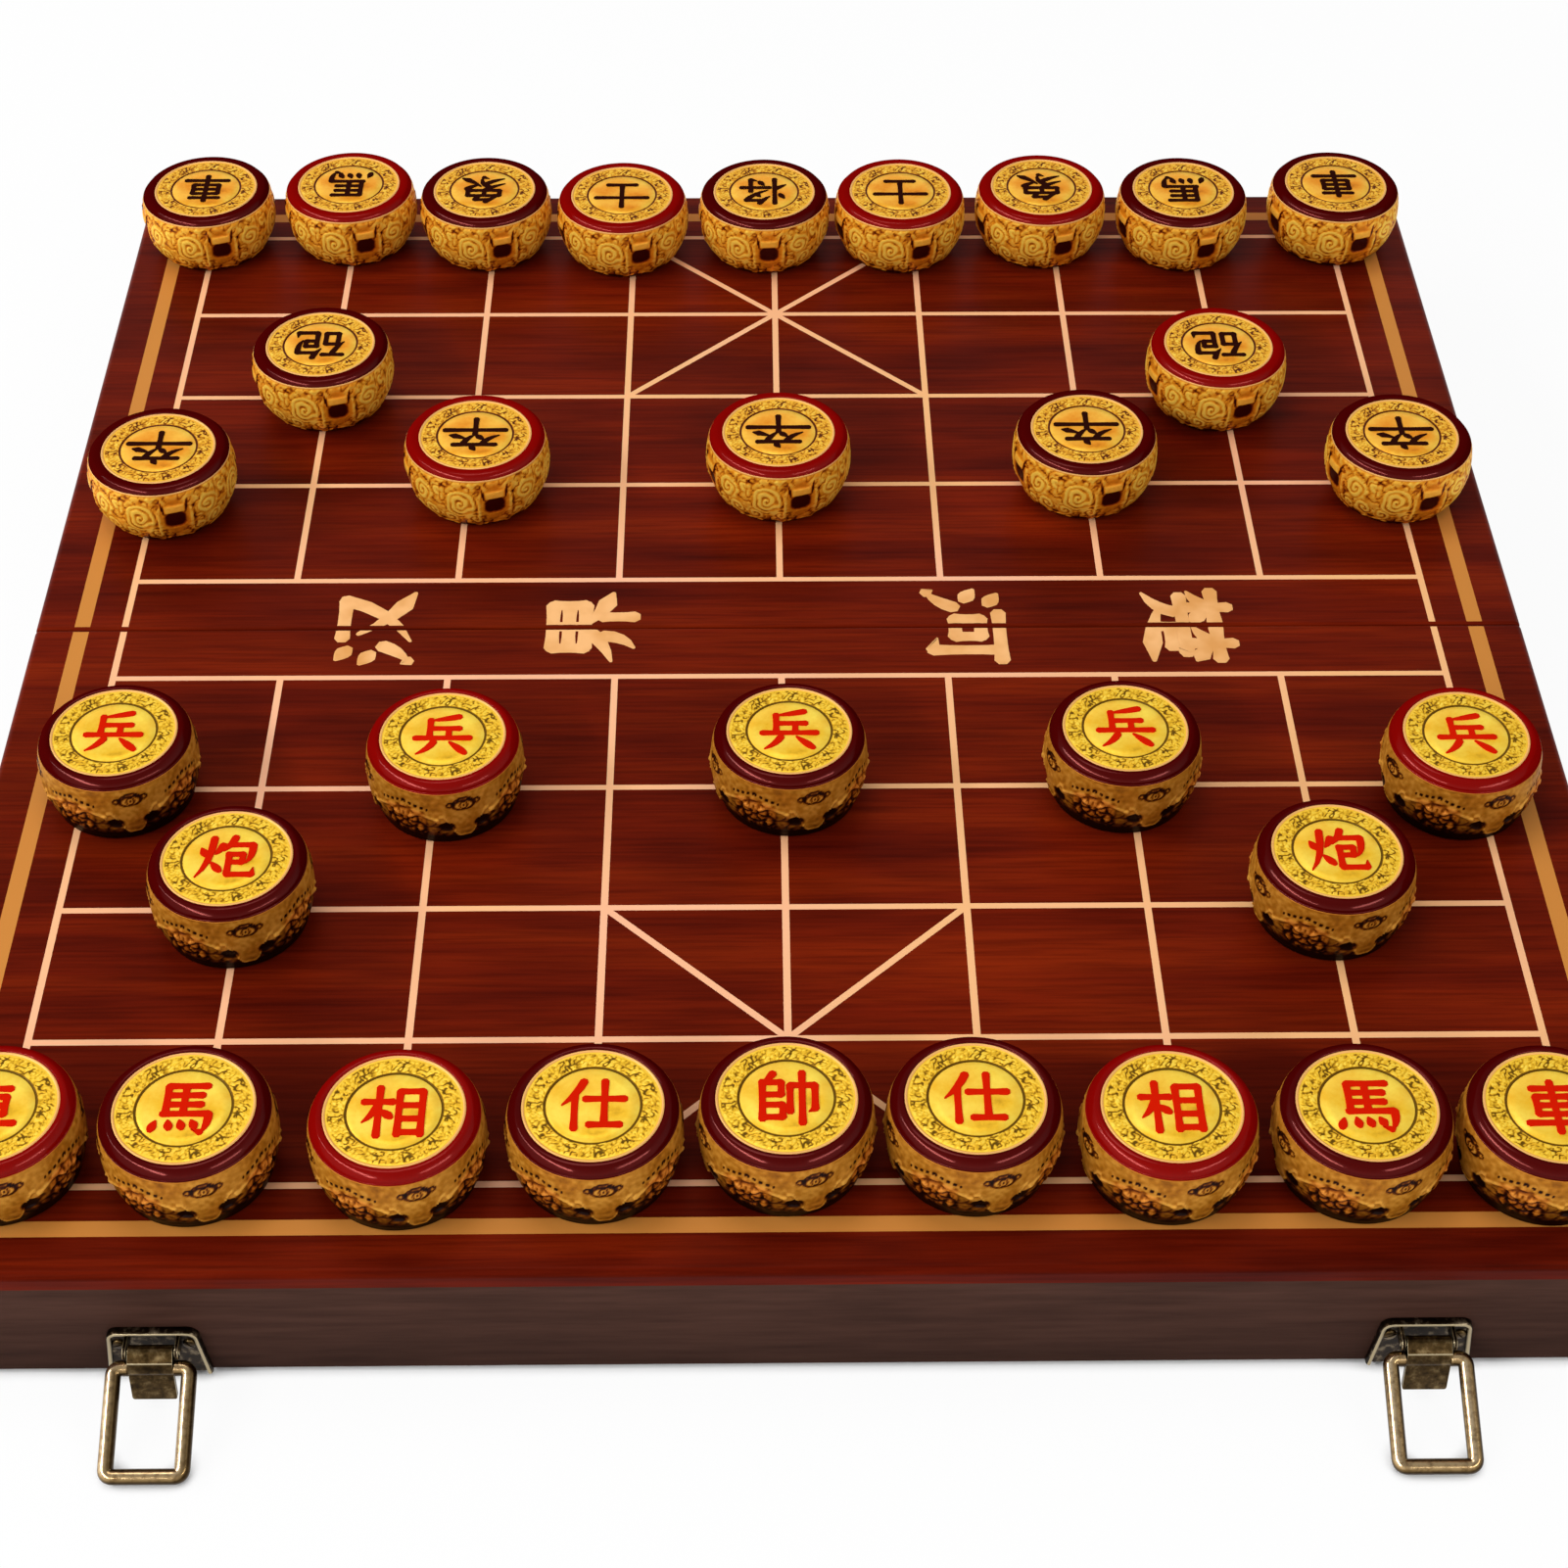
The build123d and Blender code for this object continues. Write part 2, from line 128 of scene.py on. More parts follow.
def dent(material, value, strength, depth):
    """Lets a pattern stand up from the surface."""
    bump = node(material, "Bump", Strength=strength, Distance=depth)
    wire(material, value, bump.inputs["Height"])
    wire(material, bump.outputs["Normal"], shader_of(material).inputs["Normal"])


def mixed(material, factor, first, second, blend="MIX"):
    blend_node = node(material, "Mix", data_type="RGBA", blend_type=blend)
    for value, place in ((factor, 0), (first, 6), (second, 7)):
        if isinstance(value, bpy.types.NodeSocket):
            wire(material, value, blend_node.inputs[place])
        else:
            blend_node.inputs[place].default_value = value
    return blend_node.outputs[2]


def dress(piece, material):
    """Gives a piece one finish all over."""
    piece.data.materials.clear()
    piece.data.materials.append(material)


lacquer = finish("lacquered_red_wood", paint(100, 23, 5), 0.36, specular=0.04)
shader_of(lacquer).inputs["Specular Tint"].default_value = (1.0, 0.5, 0.35, 1)
broad = grain(lacquer, (2.0, 26.0, 26.0), 3.0, 3.0)
fine = grain(lacquer, (9.0, 260.0, 260.0), 3.0, 6.0)
patch = grain(lacquer, (12.0, 20.0, 20.0), 1.0, 2.0)
broad_colour = shades(lacquer, broad, (0.28, paint(78, 13, 4)), (0.5, paint(104, 23, 5)), (0.72, paint(122, 33, 6)))
fine_colour = shades(lacquer, fine, (0.36, (0.62, 0.55, 0.52)), (0.56, (1.0, 1.0, 1.0)), (0.8, (1.22, 1.15, 1.1)))
patch_colour = shades(lacquer, patch, (0.34, (0.70, 0.66, 0.70)), (0.55, (1.0, 1.0, 1.0)), (0.7, (1.12, 1.1, 1.0)))
streaked = mixed(lacquer, 0.8, broad_colour, fine_colour, "MULTIPLY")
wire(lacquer, mixed(lacquer, 0.9, streaked, patch_colour, "MULTIPLY"), shader_of(lacquer).inputs["Base Color"])
dent(lacquer, fine, 0.04, 0.0002)
for half in ("near", "far"):
    dress(nodes[f"{half}_board_panel"], lacquer)

# ---- Board inlay
# The lattice, the palaces and the border band: pale gilt strips let in flush with the panel.
# The border band was gilded deeper than the lattice inside it.
gilt_strip = finish("gilt_strip", paint(247, 184, 138), 0.5, specular=0.12)
gilt_tone = grain(gilt_strip, (1.0, 1.0, 1.0), 9.0, 2.0)
lattice_tone = shades(gilt_strip, gilt_tone, (0.36, paint(248, 184, 146)), (0.66, paint(244, 184, 126)))
place = node(gilt_strip, "SeparateXYZ")
wire(gilt_strip, node(gilt_strip, "TexCoord").outputs["Object"], place.inputs[0])
outside = []
for axis, middle, reach in (("X", 0.0, 0.207), ("Y", seam_y, 0.2185)):
    offset = node(gilt_strip, "Math", operation="SUBTRACT")
    offset.inputs[1].default_value = middle
    wire(gilt_strip, place.outputs[axis], offset.inputs[0])
    distance = node(gilt_strip, "Math", operation="ABSOLUTE")
    wire(gilt_strip, offset.outputs[0], distance.inputs[0])
    past = node(gilt_strip, "Math", operation="GREATER_THAN")
    past.inputs[1].default_value = reach
    wire(gilt_strip, distance.outputs[0], past.inputs[0])
    outside.append(past.outputs[0])
on_band = node(gilt_strip, "Math", operation="MAXIMUM")
wire(gilt_strip, outside[0], on_band.inputs[0])
wire(gilt_strip, outside[1], on_band.inputs[1])
band_tone = mixed(gilt_strip, on_band.outputs[0], lattice_tone, (*paint(200, 130, 56), 1))
wire(gilt_strip, band_tone, shader_of(gilt_strip).inputs["Base Color"])
for half in ("near", "far"):
    dress(nodes[f"{half}_board_lines"], gilt_strip)

# ---- Tray walls
# Straight rails glued up under each panel, coloured with a flat brown stain and left matt,
# so the grain hardly shows. Painted shade darkens the wall towards the table.
stain = finish("brown_stain", paint(72, 46, 37), 0.7, specular=0.05)
stain_grain = grain(stain, (7.0, 7.0, 90.0), 4.0, 5.0)
stain_tone = shades(stain, stain_grain, (0.3, paint(60, 38, 30)), (0.55, paint(74, 48, 39)), (0.8, paint(84, 56, 46)))
level = node(stain, "SeparateXYZ")
wire(stain, node(stain, "TexCoord").outputs["Object"], level.inputs[0])
height = node(stain, "MapRange", clamp=True)
for name, value in (("From Min", 0.002), ("From Max", 0.030)):
    height.inputs[name].default_value = value
wire(stain, level.outputs["Z"], height.inputs["Value"])
# Painted shade: the stain darkens from 30 mm above the table down to 2 mm above it.
painted_shade_towards_table = shades(stain, height.outputs["Result"], (0.0, (0.62, 0.60, 0.58)), (1.0, (1.0, 1.0, 1.0)))
wire(stain, mixed(stain, 1.0, stain_tone, painted_shade_towards_table, "MULTIPLY"), shader_of(stain).inputs["Base Color"])
dent(stain, stain_grain, 0.05, 0.0003)
for name in (
    "near_front_rail", "near_seam_rail", "near_left_rail", "near_right_rail",
    "far_back_rail", "far_seam_rail", "far_left_rail", "far_right_rail",
):
    dress(nodes[name], stain)

# ---- Felt linings
# A tray of wine-red felt glued into each half, where the men lie when the case is shut.
# It is a short dense pile, so it is dull and slightly mottled.
felt = finish("wine_felt", paint(96, 14, 20), 0.95, specular=0.1)
felt_pile = grain(felt, (1.0, 1.0, 1.0), 900.0, 3.0)
wire(
    felt,
    shades(felt, felt_pile, (0.3, paint(70, 8, 12)), (0.7, paint(116, 22, 28))),
    shader_of(felt).inputs["Base Color"],
)
shader_of(felt).inputs["Sheen Weight"].default_value = 0.4
dent(felt, felt_pile, 0.5, 0.0006)
for half in ("near", "far"):
    dress(nodes[f"{half}_felt_lining"], felt)

# ---- Hinges
# Stamped brass leaves, rolled round steel pins and let into the seam rails. They are darkened
# with age, in a mottled tarnish.
aged_brass = finish("aged_brass", paint(120, 92, 54), 0.42, metallic=0.9)
tarnish = grain(aged_brass, (1.0, 1.0, 1.0), 260.0, 4.0)
wire(
    aged_brass,
    shades(aged_brass, tarnish, (0.3, paint(58, 42, 26)), (0.5, paint(112, 86, 52)), (0.75, paint(168, 140, 96))),
    shader_of(aged_brass).inputs["Base Color"],
)
dent(aged_brass, tarnish, 0.08, 0.0003)
for name in ("near_hinge_leaves", "far_hinge_leaves", "hinge_pins"):
    dress(nodes[name], aged_brass)
rim_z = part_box("near_front_rail")[0].z


def join(into, part):
    """Adds one bmesh to another and frees it."""
    scrap = bpy.data.meshes.new("scrap")
    part.to_mesh(scrap)
    part.free()
    into.from_mesh(scrap)
    bpy.data.meshes.remove(scrap)


def slotted_head(radius, rise, slot_floor, slot_turn):
    """A domed screw head in mm, standing on the origin, with a slot across it."""
    head = bmesh.new()
    profile = [(0, 1.0), (0.35, 0.987), (0.7, 0.88), (0.9, 0.69), (0.98, 0.4), (1.0, 0.0)]
    points = [(radius * part, rise * height) for part, height in profile] + [(radius, -0.3), (0, -0.3)]
    line = [head.verts.new((out, 0, height)) for out, height in points]
    for near_end, far_end in zip(line, line[1:]):
        head.edges.new((near_end, far_end))
    bmesh.ops.spin(head, geom=head.verts[:] + head.edges[:], cent=(0, 0, 0), axis=(0, 0, 1),
                   angle=2 * pi, steps=24, use_merge=True)
    bmesh.ops.remove_doubles(head, verts=head.verts, dist=0.001)
    for side in (1, -1):
        bmesh.ops.bisect_plane(head, geom=head.verts[:] + head.edges[:] + head.faces[:],
                               plane_co=(0, side * 0.2, 0), plane_no=(0, 1, 0))
    bmesh.ops.recalc_face_normals(head, faces=head.faces)
    slot_faces = [f for f in head.faces if f.normal.z > 0.3
                  and all(abs(v.co.y) < 0.21 and v.co.z > slot_floor for v in f.verts)]
    grown = bmesh.ops.extrude_face_region(head, geom=slot_faces)["geom"]
    for vert in grown:
        if isinstance(vert, bmesh.types.BMVert):
            vert.co.z = slot_floor
    bmesh.ops.delete(head, geom=slot_faces, context="FACES")
    bmesh.ops.recalc_face_normals(head, faces=head.faces)
    bmesh.ops.rotate(head, verts=head.verts, cent=(0, 0, 0), matrix=Matrix.Rotation(slot_turn, 3, "Z"))
    return head


def hinge_screws(half, sign):
    """Three countersunk heads to a leaf, nearly flush with it, so that the rims can meet."""
    heads = bmesh.new()
    for hinge in (-1, 1):
        for place_along in (-1, 0, 1):
            one = slotted_head(1.9, 0.1, 0.02, radians(70 * place_along + 35 * hinge * sign))
            bmesh.ops.rotate(one, verts=one.verts, cent=(0, 0, 0), matrix=Matrix.Rotation(pi, 3, "X"))
            bmesh.ops.translate(one, verts=one.verts, vec=(150.0 * hinge + 12.6 * place_along, sign * 5.75, 0))
            join(heads, one)
    bmesh.ops.scale(heads, verts=heads.verts, vec=(0.001, 0.001, 0.001))
    bmesh.ops.translate(heads, verts=heads.verts, vec=(0, seam_y, rim_z))
    shape = bpy.data.meshes.new(half + "_hinge_screws")
    heads.to_mesh(shape)
    heads.free()
    shape.materials.append(screw_brass)
    piece = bpy.data.objects.new(half + "_hinge_screws", shape)
    bpy.context.scene.collection.objects.link(piece)
    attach(piece, half + "_half")


screw_brass = finish("screw_brass", paint(190, 160, 104), 0.32, metallic=1.0)
hinge_screws("near", -1)
hinge_screws("far", 1)

# ---- Latches
# Aged brass draw latches: a pressed pan screwed to the near wall, a lever rolled round a pin
# between its ears, and a bail of round wire that hooks over the rim when the case is shut.
latch_joints = {joint["name"]: Vector(joint["pos_m"]) for joint in frame["record"]["behaviour"]["joints"]
                if "latch_lever" in joint["name"] or "bail" in joint["name"]}
wall_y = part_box("near_front_rail")[0].y


def brass(name, dull, plain, worn, roughness):
    """Brass with a brown skin, mottled from dull to worn bright."""
    metal = finish(name, plain, roughness, metallic=1.0)
    skin = grain(metal, (1.0, 1.0, 1.0), 420.0, 5.0)
    tone = shades(metal, skin, (0.34, dull), (0.52, plain), (0.72, worn))
    wire(metal, tone, shader_of(metal).inputs["Base Color"])
    dent(metal, skin, 0.15, 0.0002)
    return metal


pan_brass = brass("pan_brass", paint(22, 15, 9), paint(42, 30, 19), paint(138, 122, 98), 0.36)
lever_brass = brass("lever_brass", paint(44, 32, 16), paint(78, 60, 34), paint(128, 108, 74), 0.34)
# A paler brass for edges: rubbed wear, and a painted highlight along each rim and fold.
edge_brass = finish("edge_brass", paint(172, 156, 124), 0.34, metallic=1.0)
wire_brass = finish("wire_brass", paint(160, 132, 92), 0.24, metallic=1.0)
# Painted highlight and shade: the wire is lighter on its side towards the window and darker away from it, over a
# spotted tarnish.
painted_light_tone = shades(
    wire_brass, node(wire_brass, "Attribute", attribute_name="painted_light_and_patina").outputs["Fac"], (0.42, paint(66, 50, 28)),
    (0.68, paint(144, 118, 78)), (0.88, paint(212, 180, 132)), (1.0, paint(246, 220, 180)),
)
spotted = shades(wire_brass, grain(wire_brass, (1.0, 1.0, 1.0), 700.0, 4.0), (0.34, (0.52, 0.46, 0.40)), (0.56, (1.0, 1.0, 1.0)))
wire(wire_brass, mixed(wire_brass, 0.9, painted_light_tone, spotted, "MULTIPLY"), shader_of(wire_brass).inputs["Base Color"])


def wall_point(x, across, out, up):
    """A place on a latch: across it, out from the wall and up from the rim, all in mm."""
    return Vector((x + across / 1000, wall_y - out / 1000, rim_z + up / 1000))


def seat(made, name, body, stands_for, x, material, smooth=True, bevel=0.0):
    """Puts a piece drawn in a latch's own mm (across, out, up) on the wall and lets it ride."""
    for vert in made.verts:
        vert.co = wall_point(x, *vert.co)
    bmesh.ops.remove_doubles(made, verts=made.verts, dist=0.000002)
    bmesh.ops.recalc_face_normals(made, faces=made.faces)
    for face in made.faces:
        face.smooth = smooth
    shape = bpy.data.meshes.new(name)
    made.to_mesh(shape)
    made.free()
    if smooth:
        shape.set_sharp_from_angle(angle=radians(38))
    shape.materials.append(material)
    shape.materials.append(edge_brass)
    piece = bpy.data.objects.new(name, shape)
    bpy.context.scene.collection.objects.link(piece)
    # Bevelled edges take the paler edge brass: wear, and a painted highlight along each edge.
    if bevel:
        rounding = piece.modifiers.new("worn_and_highlit_edges", "BEVEL")
        rounding.width, rounding.segments = bevel, 3
        rounding.limit_method, rounding.angle_limit = "ANGLE", radians(38)
        rounding.material = 1
    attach(piece, body)
    if stands_for:
        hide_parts(*stands_for)
    return piece


def strip_face(made, outline):
    return made.faces.new([made.verts.new(point) for point in outline])


def pushed(made, faces, move):
    """Extrudes faces along a vector and returns the faces at the far end."""
    grown = bmesh.ops.extrude_face_region(made, geom=faces)["geom"]
    bmesh.ops.translate(made, verts=[v for v in grown if isinstance(v, bmesh.types.BMVert)], vec=move)
    return [face for face in grown if isinstance(face, bmesh.types.BMFace)]


def pressed_pan():
    """The pan: a flared outline with round top corners, a rolled rim and a sunken floor."""
    foot_half, top_half, foot, top, corner = 13.2, 11.6, 0.3, 18.0, 3.0
    outline = [(foot_half, foot - 4.0), (foot_half, foot)]
    for count in range(9):
        turn = radians(90 * count / 8)
        outline.append((top_half - corner + corner * cos(turn), top - corner + corner * sin(turn)))
    outline += [(-across, up) for across, up in reversed(outline)]
    pan = bmesh.new()
    face = strip_face(pan, [(across, 0, up) for across, up in outline])
    top_face = pushed(pan, [face], (0, 1.5, 0))
    for inset, rise in ((0.25, 0.45), (0.35, 0.22), (0.35, -0.05), (0.3, -0.35), (0.15, -0.72)):
        bmesh.ops.inset_region(pan, faces=top_face, thickness=inset, use_even_offset=True)
        bmesh.ops.translate(pan, verts=list({v for f in top_face for v in f.verts}), vec=(0, rise, 0))
    bmesh.ops.bisect_plane(
        pan, geom=pan.verts[:] + pan.edges[:] + pan.faces[:], plane_co=(0, 0, foot), plane_no=(0, 0, -1),
        clear_outer=True,
    )
    bmesh.ops.holes_fill(pan, edges=[edge for edge in pan.edges if edge.is_boundary], sides=0)
    # The front of the rolled rim takes the paler edge brass: a painted highlight along it, and wear.
    for face in pan.faces:
        if face.calc_center_median().y > 1.85:
            face.material_index = 1
    return pan


def pan_ears(pan, pin_out, pin_up):
    """Two ears folded out of the floor of the pan, with the pin's ends riveted over in them."""
    for hand in (1, -1):
        outline = [(0.8, pin_up - 1.9)]
        for count in range(9):
            turn = radians(-90 + 180 * count / 8)
            outline.append((pin_out + 1.9 * cos(turn), pin_up + 1.9 * sin(turn)))
        outline.append((0.8, pin_up + 1.9))
        ear = strip_face(pan, [(hand * 6.0, out, up) for out, up in outline])
        pushed(pan, [ear], (hand, 0, 0))
        bmesh.ops.create_cone(
            pan, cap_ends=True, segments=16, radius1=1.0, radius2=0.7, depth=0.35,
            matrix=Matrix.Translation((hand * 7.1, pin_out, pin_up)) @ Matrix.Rotation(hand * pi / 2, 4, "Y"),
        )


def screw_head(made, across, out, up, radius, slot_turn):
    """One of the plate's screws, its head standing out from the wall."""
    head = slotted_head(radius, 0.75, 0.28, slot_turn)
    for vert in head.verts:
        vert.co = Vector((across + vert.co.x, out + vert.co.z, up + vert.co.y))
    join(made, head)


def belt(first, first_radius, second, second_radius, steps=10):
    """The outline of a belt round two rollers, as places out from the wall and up from the rim."""
    run = second - first
    away = atan2(run.y, run.x)
    lean = atan2(first_radius - second_radius, run.length)
    outline = []
    for centre, radius, start in ((second, second_radius, away - pi / 2), (first, first_radius, away + pi / 2)):
        sweep_from = start + lean if centre is second else start - lean
        sweep = pi - 2 * lean if centre is second else pi + 2 * lean
        for count in range(steps + 1):
            turn = sweep_from + sweep * count / steps
            outline.append(centre + radius * Vector((cos(turn), sin(turn))))
    return outline


def lever_shape(pin, pivot):
    """The lever, pressed from one strip: rolled at the pin, folded over the bail, with a finger tab."""
    lever = bmesh.new()
    half = 5.65
    corner = pivot + Vector((0.4, 2.7))
    tip = pivot + 9.2 * Vector((cos(radians(-75)), sin(radians(-75))))
    scrap = bpy.data.meshes.new("part")
    for first, first_radius, second, second_radius in (
        (pin, 1.85, corner, 0.6), (corner, 0.6, pivot, 1.75), (pin, 1.6, pivot, 1.6), (corner, 0.6, tip, 0.7),
    ):
        part = bmesh.new()
        flat = strip_face(part, [(-half, *place) for place in belt(first, first_radius, second, second_radius)])
        pushed(part, [flat], (2 * half, 0, 0))
        if second is tip:
            round_tip(part, half, tip, (tip - corner).normalized())
        part.to_mesh(scrap)
        part.free()
        lever.from_mesh(scrap)
    bpy.data.meshes.remove(scrap)
    # The fold takes the paler edge brass: a painted highlight line along it, and wear.
    for face in lever.faces:
        middle = face.calc_center_median()
        if hypot(middle.y - corner.x, middle.z - corner.y) < 0.62:
            face.material_index = 1
    return lever


def round_tip(tab, half, tip, down, corner_radius=1.3):
    """Cuts the two corners of the finger tab round."""
    for hand in (1, -1):
        for count in range(1, 6):
            turn = radians(15 * count)
            centre = tip + down * (0.7 - corner_radius)
            facing = Vector((hand * sin(turn), cos(turn) * down.x, cos(turn) * down.y))
            spot = Vector((hand * (half - corner_radius), centre.x, centre.y)) + facing * corner_radius
            bmesh.ops.bisect_plane(tab, geom=tab.verts[:] + tab.edges[:] + tab.faces[:], plane_co=spot,
                                   plane_no=facing, clear_outer=True)
            bmesh.ops.holes_fill(tab, edges=[edge for edge in tab.edges if edge.is_boundary], sides=0)


def bent_wire(name, x, pivot, end):
    """The bail: one round wire bent square, lying from its pivot down to the table."""
    run = end - pivot
    length, along = run.length, run.normalized()
    leg, round_by, start = 9.5, 4.2, 5.95
    route = [(-start, 0), (round_by - leg, 0), (-leg, 0), (-leg, round_by), (-leg, length - round_by),
             (-leg, length), (round_by - leg, length)]
    route += [(-across, reach) for across, reach in reversed(route)]
    bend = bpy.data.curves.new(name, "CURVE")
    bend.dimensions = "3D"
    bend.bevel_depth, bend.bevel_resolution = 0.002, 6
    bend.use_fill_caps = True
    spline = bend.splines.new("NURBS")
    spline.points.add(len(route) - 1)
    for point, (across, reach) in zip(spline.points, route):
        point.co = (*wall_point(x, across, pivot.x + along.x * reach, pivot.y + along.y * reach), 1)
    spline.order_u = 3
    spline.use_endpoint_u = True
    spline.resolution_u = 8
    draft = bpy.data.objects.new(name + "_bend", bend)
    shape = bpy.data.meshes.new_from_object(draft)
    bpy.data.objects.remove(draft)
    shape.name = name
    # Painted highlight and shade: how far each point faces up and left, towards the window, sets how light the wire is
    # painted there.
    towards_window = Vector((-0.40, -0.25, 0.88)).normalized()
    painted_light_and_patina = shape.attributes.new("painted_light_and_patina", "FLOAT", "POINT")
    for number, corner in enumerate(shape.vertex_normals):
        painted_light_and_patina.data[number].value = max(0.0, corner.vector.dot(towards_window))
    for face in shape.polygons:
        face.use_smooth = True
    shape.materials.clear()
    shape.materials.append(wire_brass)
    return shape


def fit_latches():
    for hand in ("left", "right"):
        pin_at, pivot_at = latch_joints[f"latch_lever_{hand}"], latch_joints[f"bail_{hand}"]
        x = pin_at.x
        pin = Vector(((wall_y - pin_at.y) * 1000, (pin_at.z - rim_z) * 1000))
        pivot = Vector(((wall_y - pivot_at.y) * 1000, (pivot_at.z - rim_z) * 1000))
        pan = pressed_pan()
        seat(pan, f"latch_pan_{hand}", "near_half", ["latch_plates"], x, pan_brass)
        ears = bmesh.new()
        pan_ears(ears, pin.x, pin.y)
        seat(ears, f"latch_ears_{hand}", "near_half", ["latch_plates"], x, pan_brass, bevel=0.0002)
        heads = bmesh.new()
        screw_head(heads, -8.9, 1.0, 12.4, 1.75, radians(25))
        screw_head(heads, 8.9, 1.0, 12.4, 1.75, radians(-50))
        seat(heads, f"latch_screw_heads_{hand}", "near_half", ["latch_screws"], x, lever_brass)
        seat(lever_shape(pin, pivot), f"lever_{hand}", f"lever_{hand}", [f"latch_lever_{hand}"], x, lever_brass,
             bevel=0.00025)
        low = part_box(f"latch_bail_{hand}")[0]
        length = 26.694
        drop = pivot.y - ((low.z - rim_z) * 1000 + 2.0)
        end = pivot + Vector(((length**2 - drop**2) ** 0.5, -drop))
        shape = bent_wire(f"bail_{hand}", x, pivot, end)
        piece = bpy.data.objects.new(f"bail_{hand}", shape)
        bpy.context.scene.collection.objects.link(piece)
        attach(piece, f"bail_{hand}")
        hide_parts(f"latch_bail_{hand}")


fit_latches()
for name in ("latch_pins", "latch_catches", "catch_screws"):
    dress(nodes[name], lever_brass)

# ---- The men's drums
# Thirty-two cast resin drums, gilded and rubbed with a dark patina that stays in the hollows.
# Each has a swelling carved side, a lacquered bead round its top and a struck medal let in.
# Painted shade is laid into each side's tone and darkens it towards the foot, where the man stands on the board.
drum_steps = 320
side_bottom, side_rows = 0.7, 46
foot_lift = 0.03
medal_height = 23.05
quarter = 34.6
shapes = {
    "red": {
        "belly": 22.15, "level": 12.5, "below": 0.0180, "above": 0.0115, "top": 20.3, "medal": 17.75, "blush": 0.0,
        "bead": ((88, 0.55), (72, 0.5), (58, 0.4), (50, 0.3), (46, 0.4), (43, 0.4), (39, 0.4), (30, 0.3),
                 (18, 0.3), (6, 0.5), (-8, 0.4), (-30, 0.25)),
    },
    "black": {
        "belly": 22.7, "level": 13.5, "below": 0.0320, "above": 0.0105, "top": 21.2, "medal": 17.8, "blush": 0.8,
        "bead": ((85, 0.15), (65, 0.3), (54, 0.5), (49, 0.55), (35, 0.35), (20, 0.45), (8, 1.0), (-5, 1.1),
                 (-20, 0.35)),
    },
}


def side_radius(army, height):
    """The drum swells from its foot to its belly and turns in a little under the bead."""
    form = shapes[army]
    return form["belly"] - form["below" if height < form["level"] else "above"] * (height - form["level"]) ** 2


def drum_edge(army):
    """Radius and height down the middle of a man's section, in mm, from foot to medal."""
    foot, side_top, edge = side_radius(army, 0), shapes[army]["top"], shapes[army]["medal"]
    points = [(0, foot_lift), (foot / 2, foot_lift), (foot - 0.9, foot_lift), (foot - 0.2, 0.25)]
    for count in range(side_rows + 1):
        height = side_bottom + (side_top - side_bottom) * count / side_rows
        points.append((side_radius(army, height), height))
    rim = side_radius(army, side_top)
    points += [(rim, side_top + 0.25), (rim - 0.1, side_top + 0.45), (rim - 0.35, side_top + 0.5)]
    inner = edge + 0.15
    slopes = shapes[army]["bead"]
    wide = (rim - 0.4 - inner) / sum(length * cos(radians(slope)) for slope, length in slopes)
    out, up = rim - 0.4, side_top + 0.5
    points.append((out, up))
    for slope, length in slopes:
        out, up = out - wide * length * cos(radians(slope)), up + length * sin(radians(slope))
        points.append((out, up))
    points += [(edge, 23.05), (edge - 0.15, 23.3), (edge - 0.35, 23.35), (edge - 0.55, 23.25)]
    points += [(edge - 0.7, medal_height)]
    points += [(16.7 - 0.3 * count, medal_height) for count in range(15)]
    points += [(12.2, medal_height), (12.0, 22.85), (11.75, 22.85), (11.6, medal_height), (9.0, medal_height + 0.05)]
    points += [(6.0, medal_height + 0.05), (3.0, medal_height + 0.05), (0, medal_height + 0.05)]
    return points


def soft(value, low, high):
    part = min(1.0, max(0.0, (value - low) / (high - low)))
    return part * part * (3 - 2 * part)


def bump_at(across, up, half_width, half_height, edge=0.35):
    """1 inside an upright ellipse, falling to 0 past its edge."""
    return 1 - soft(hypot(across / half_width, up / half_height), 1 - edge, 1 + edge)


def coil(across, up, size, pitch, hand):
    """A coiled cloud: the height of its ridges, 0 to 1, and how much of it is at a place."""
    reach = hypot(across, up)
    return 0.5 + 0.5 * cos(2 * pi * reach / pitch - hand * atan2(up, across)), 1 - soft(reach, size - 0.7, size + 0.3)


def threads(spot, scale, width):
    """Wandering lines, 1 on a line, where a noise over the piece passes through nought."""
    return 1 - soft(abs(noise.noise(spot * scale)), 0.2 * width, width)


cloud_coils = (
    (-10.4, 13.0, 5.2, 1.8, 1), (10.6, 14.2, 3.8, 1.8, -1), (13.6, 7.2, 3.4, 1.8, 1), (7.6, 6.4, 2.6, 1.6, -1),
    (-6.6, 6.0, 2.6, 1.6, 1), (-14.6, 6.2, 2.8, 1.8, -1), (16.6, 17.2, 2.4, 1.8, 1),
)
noise.seed_set(5)


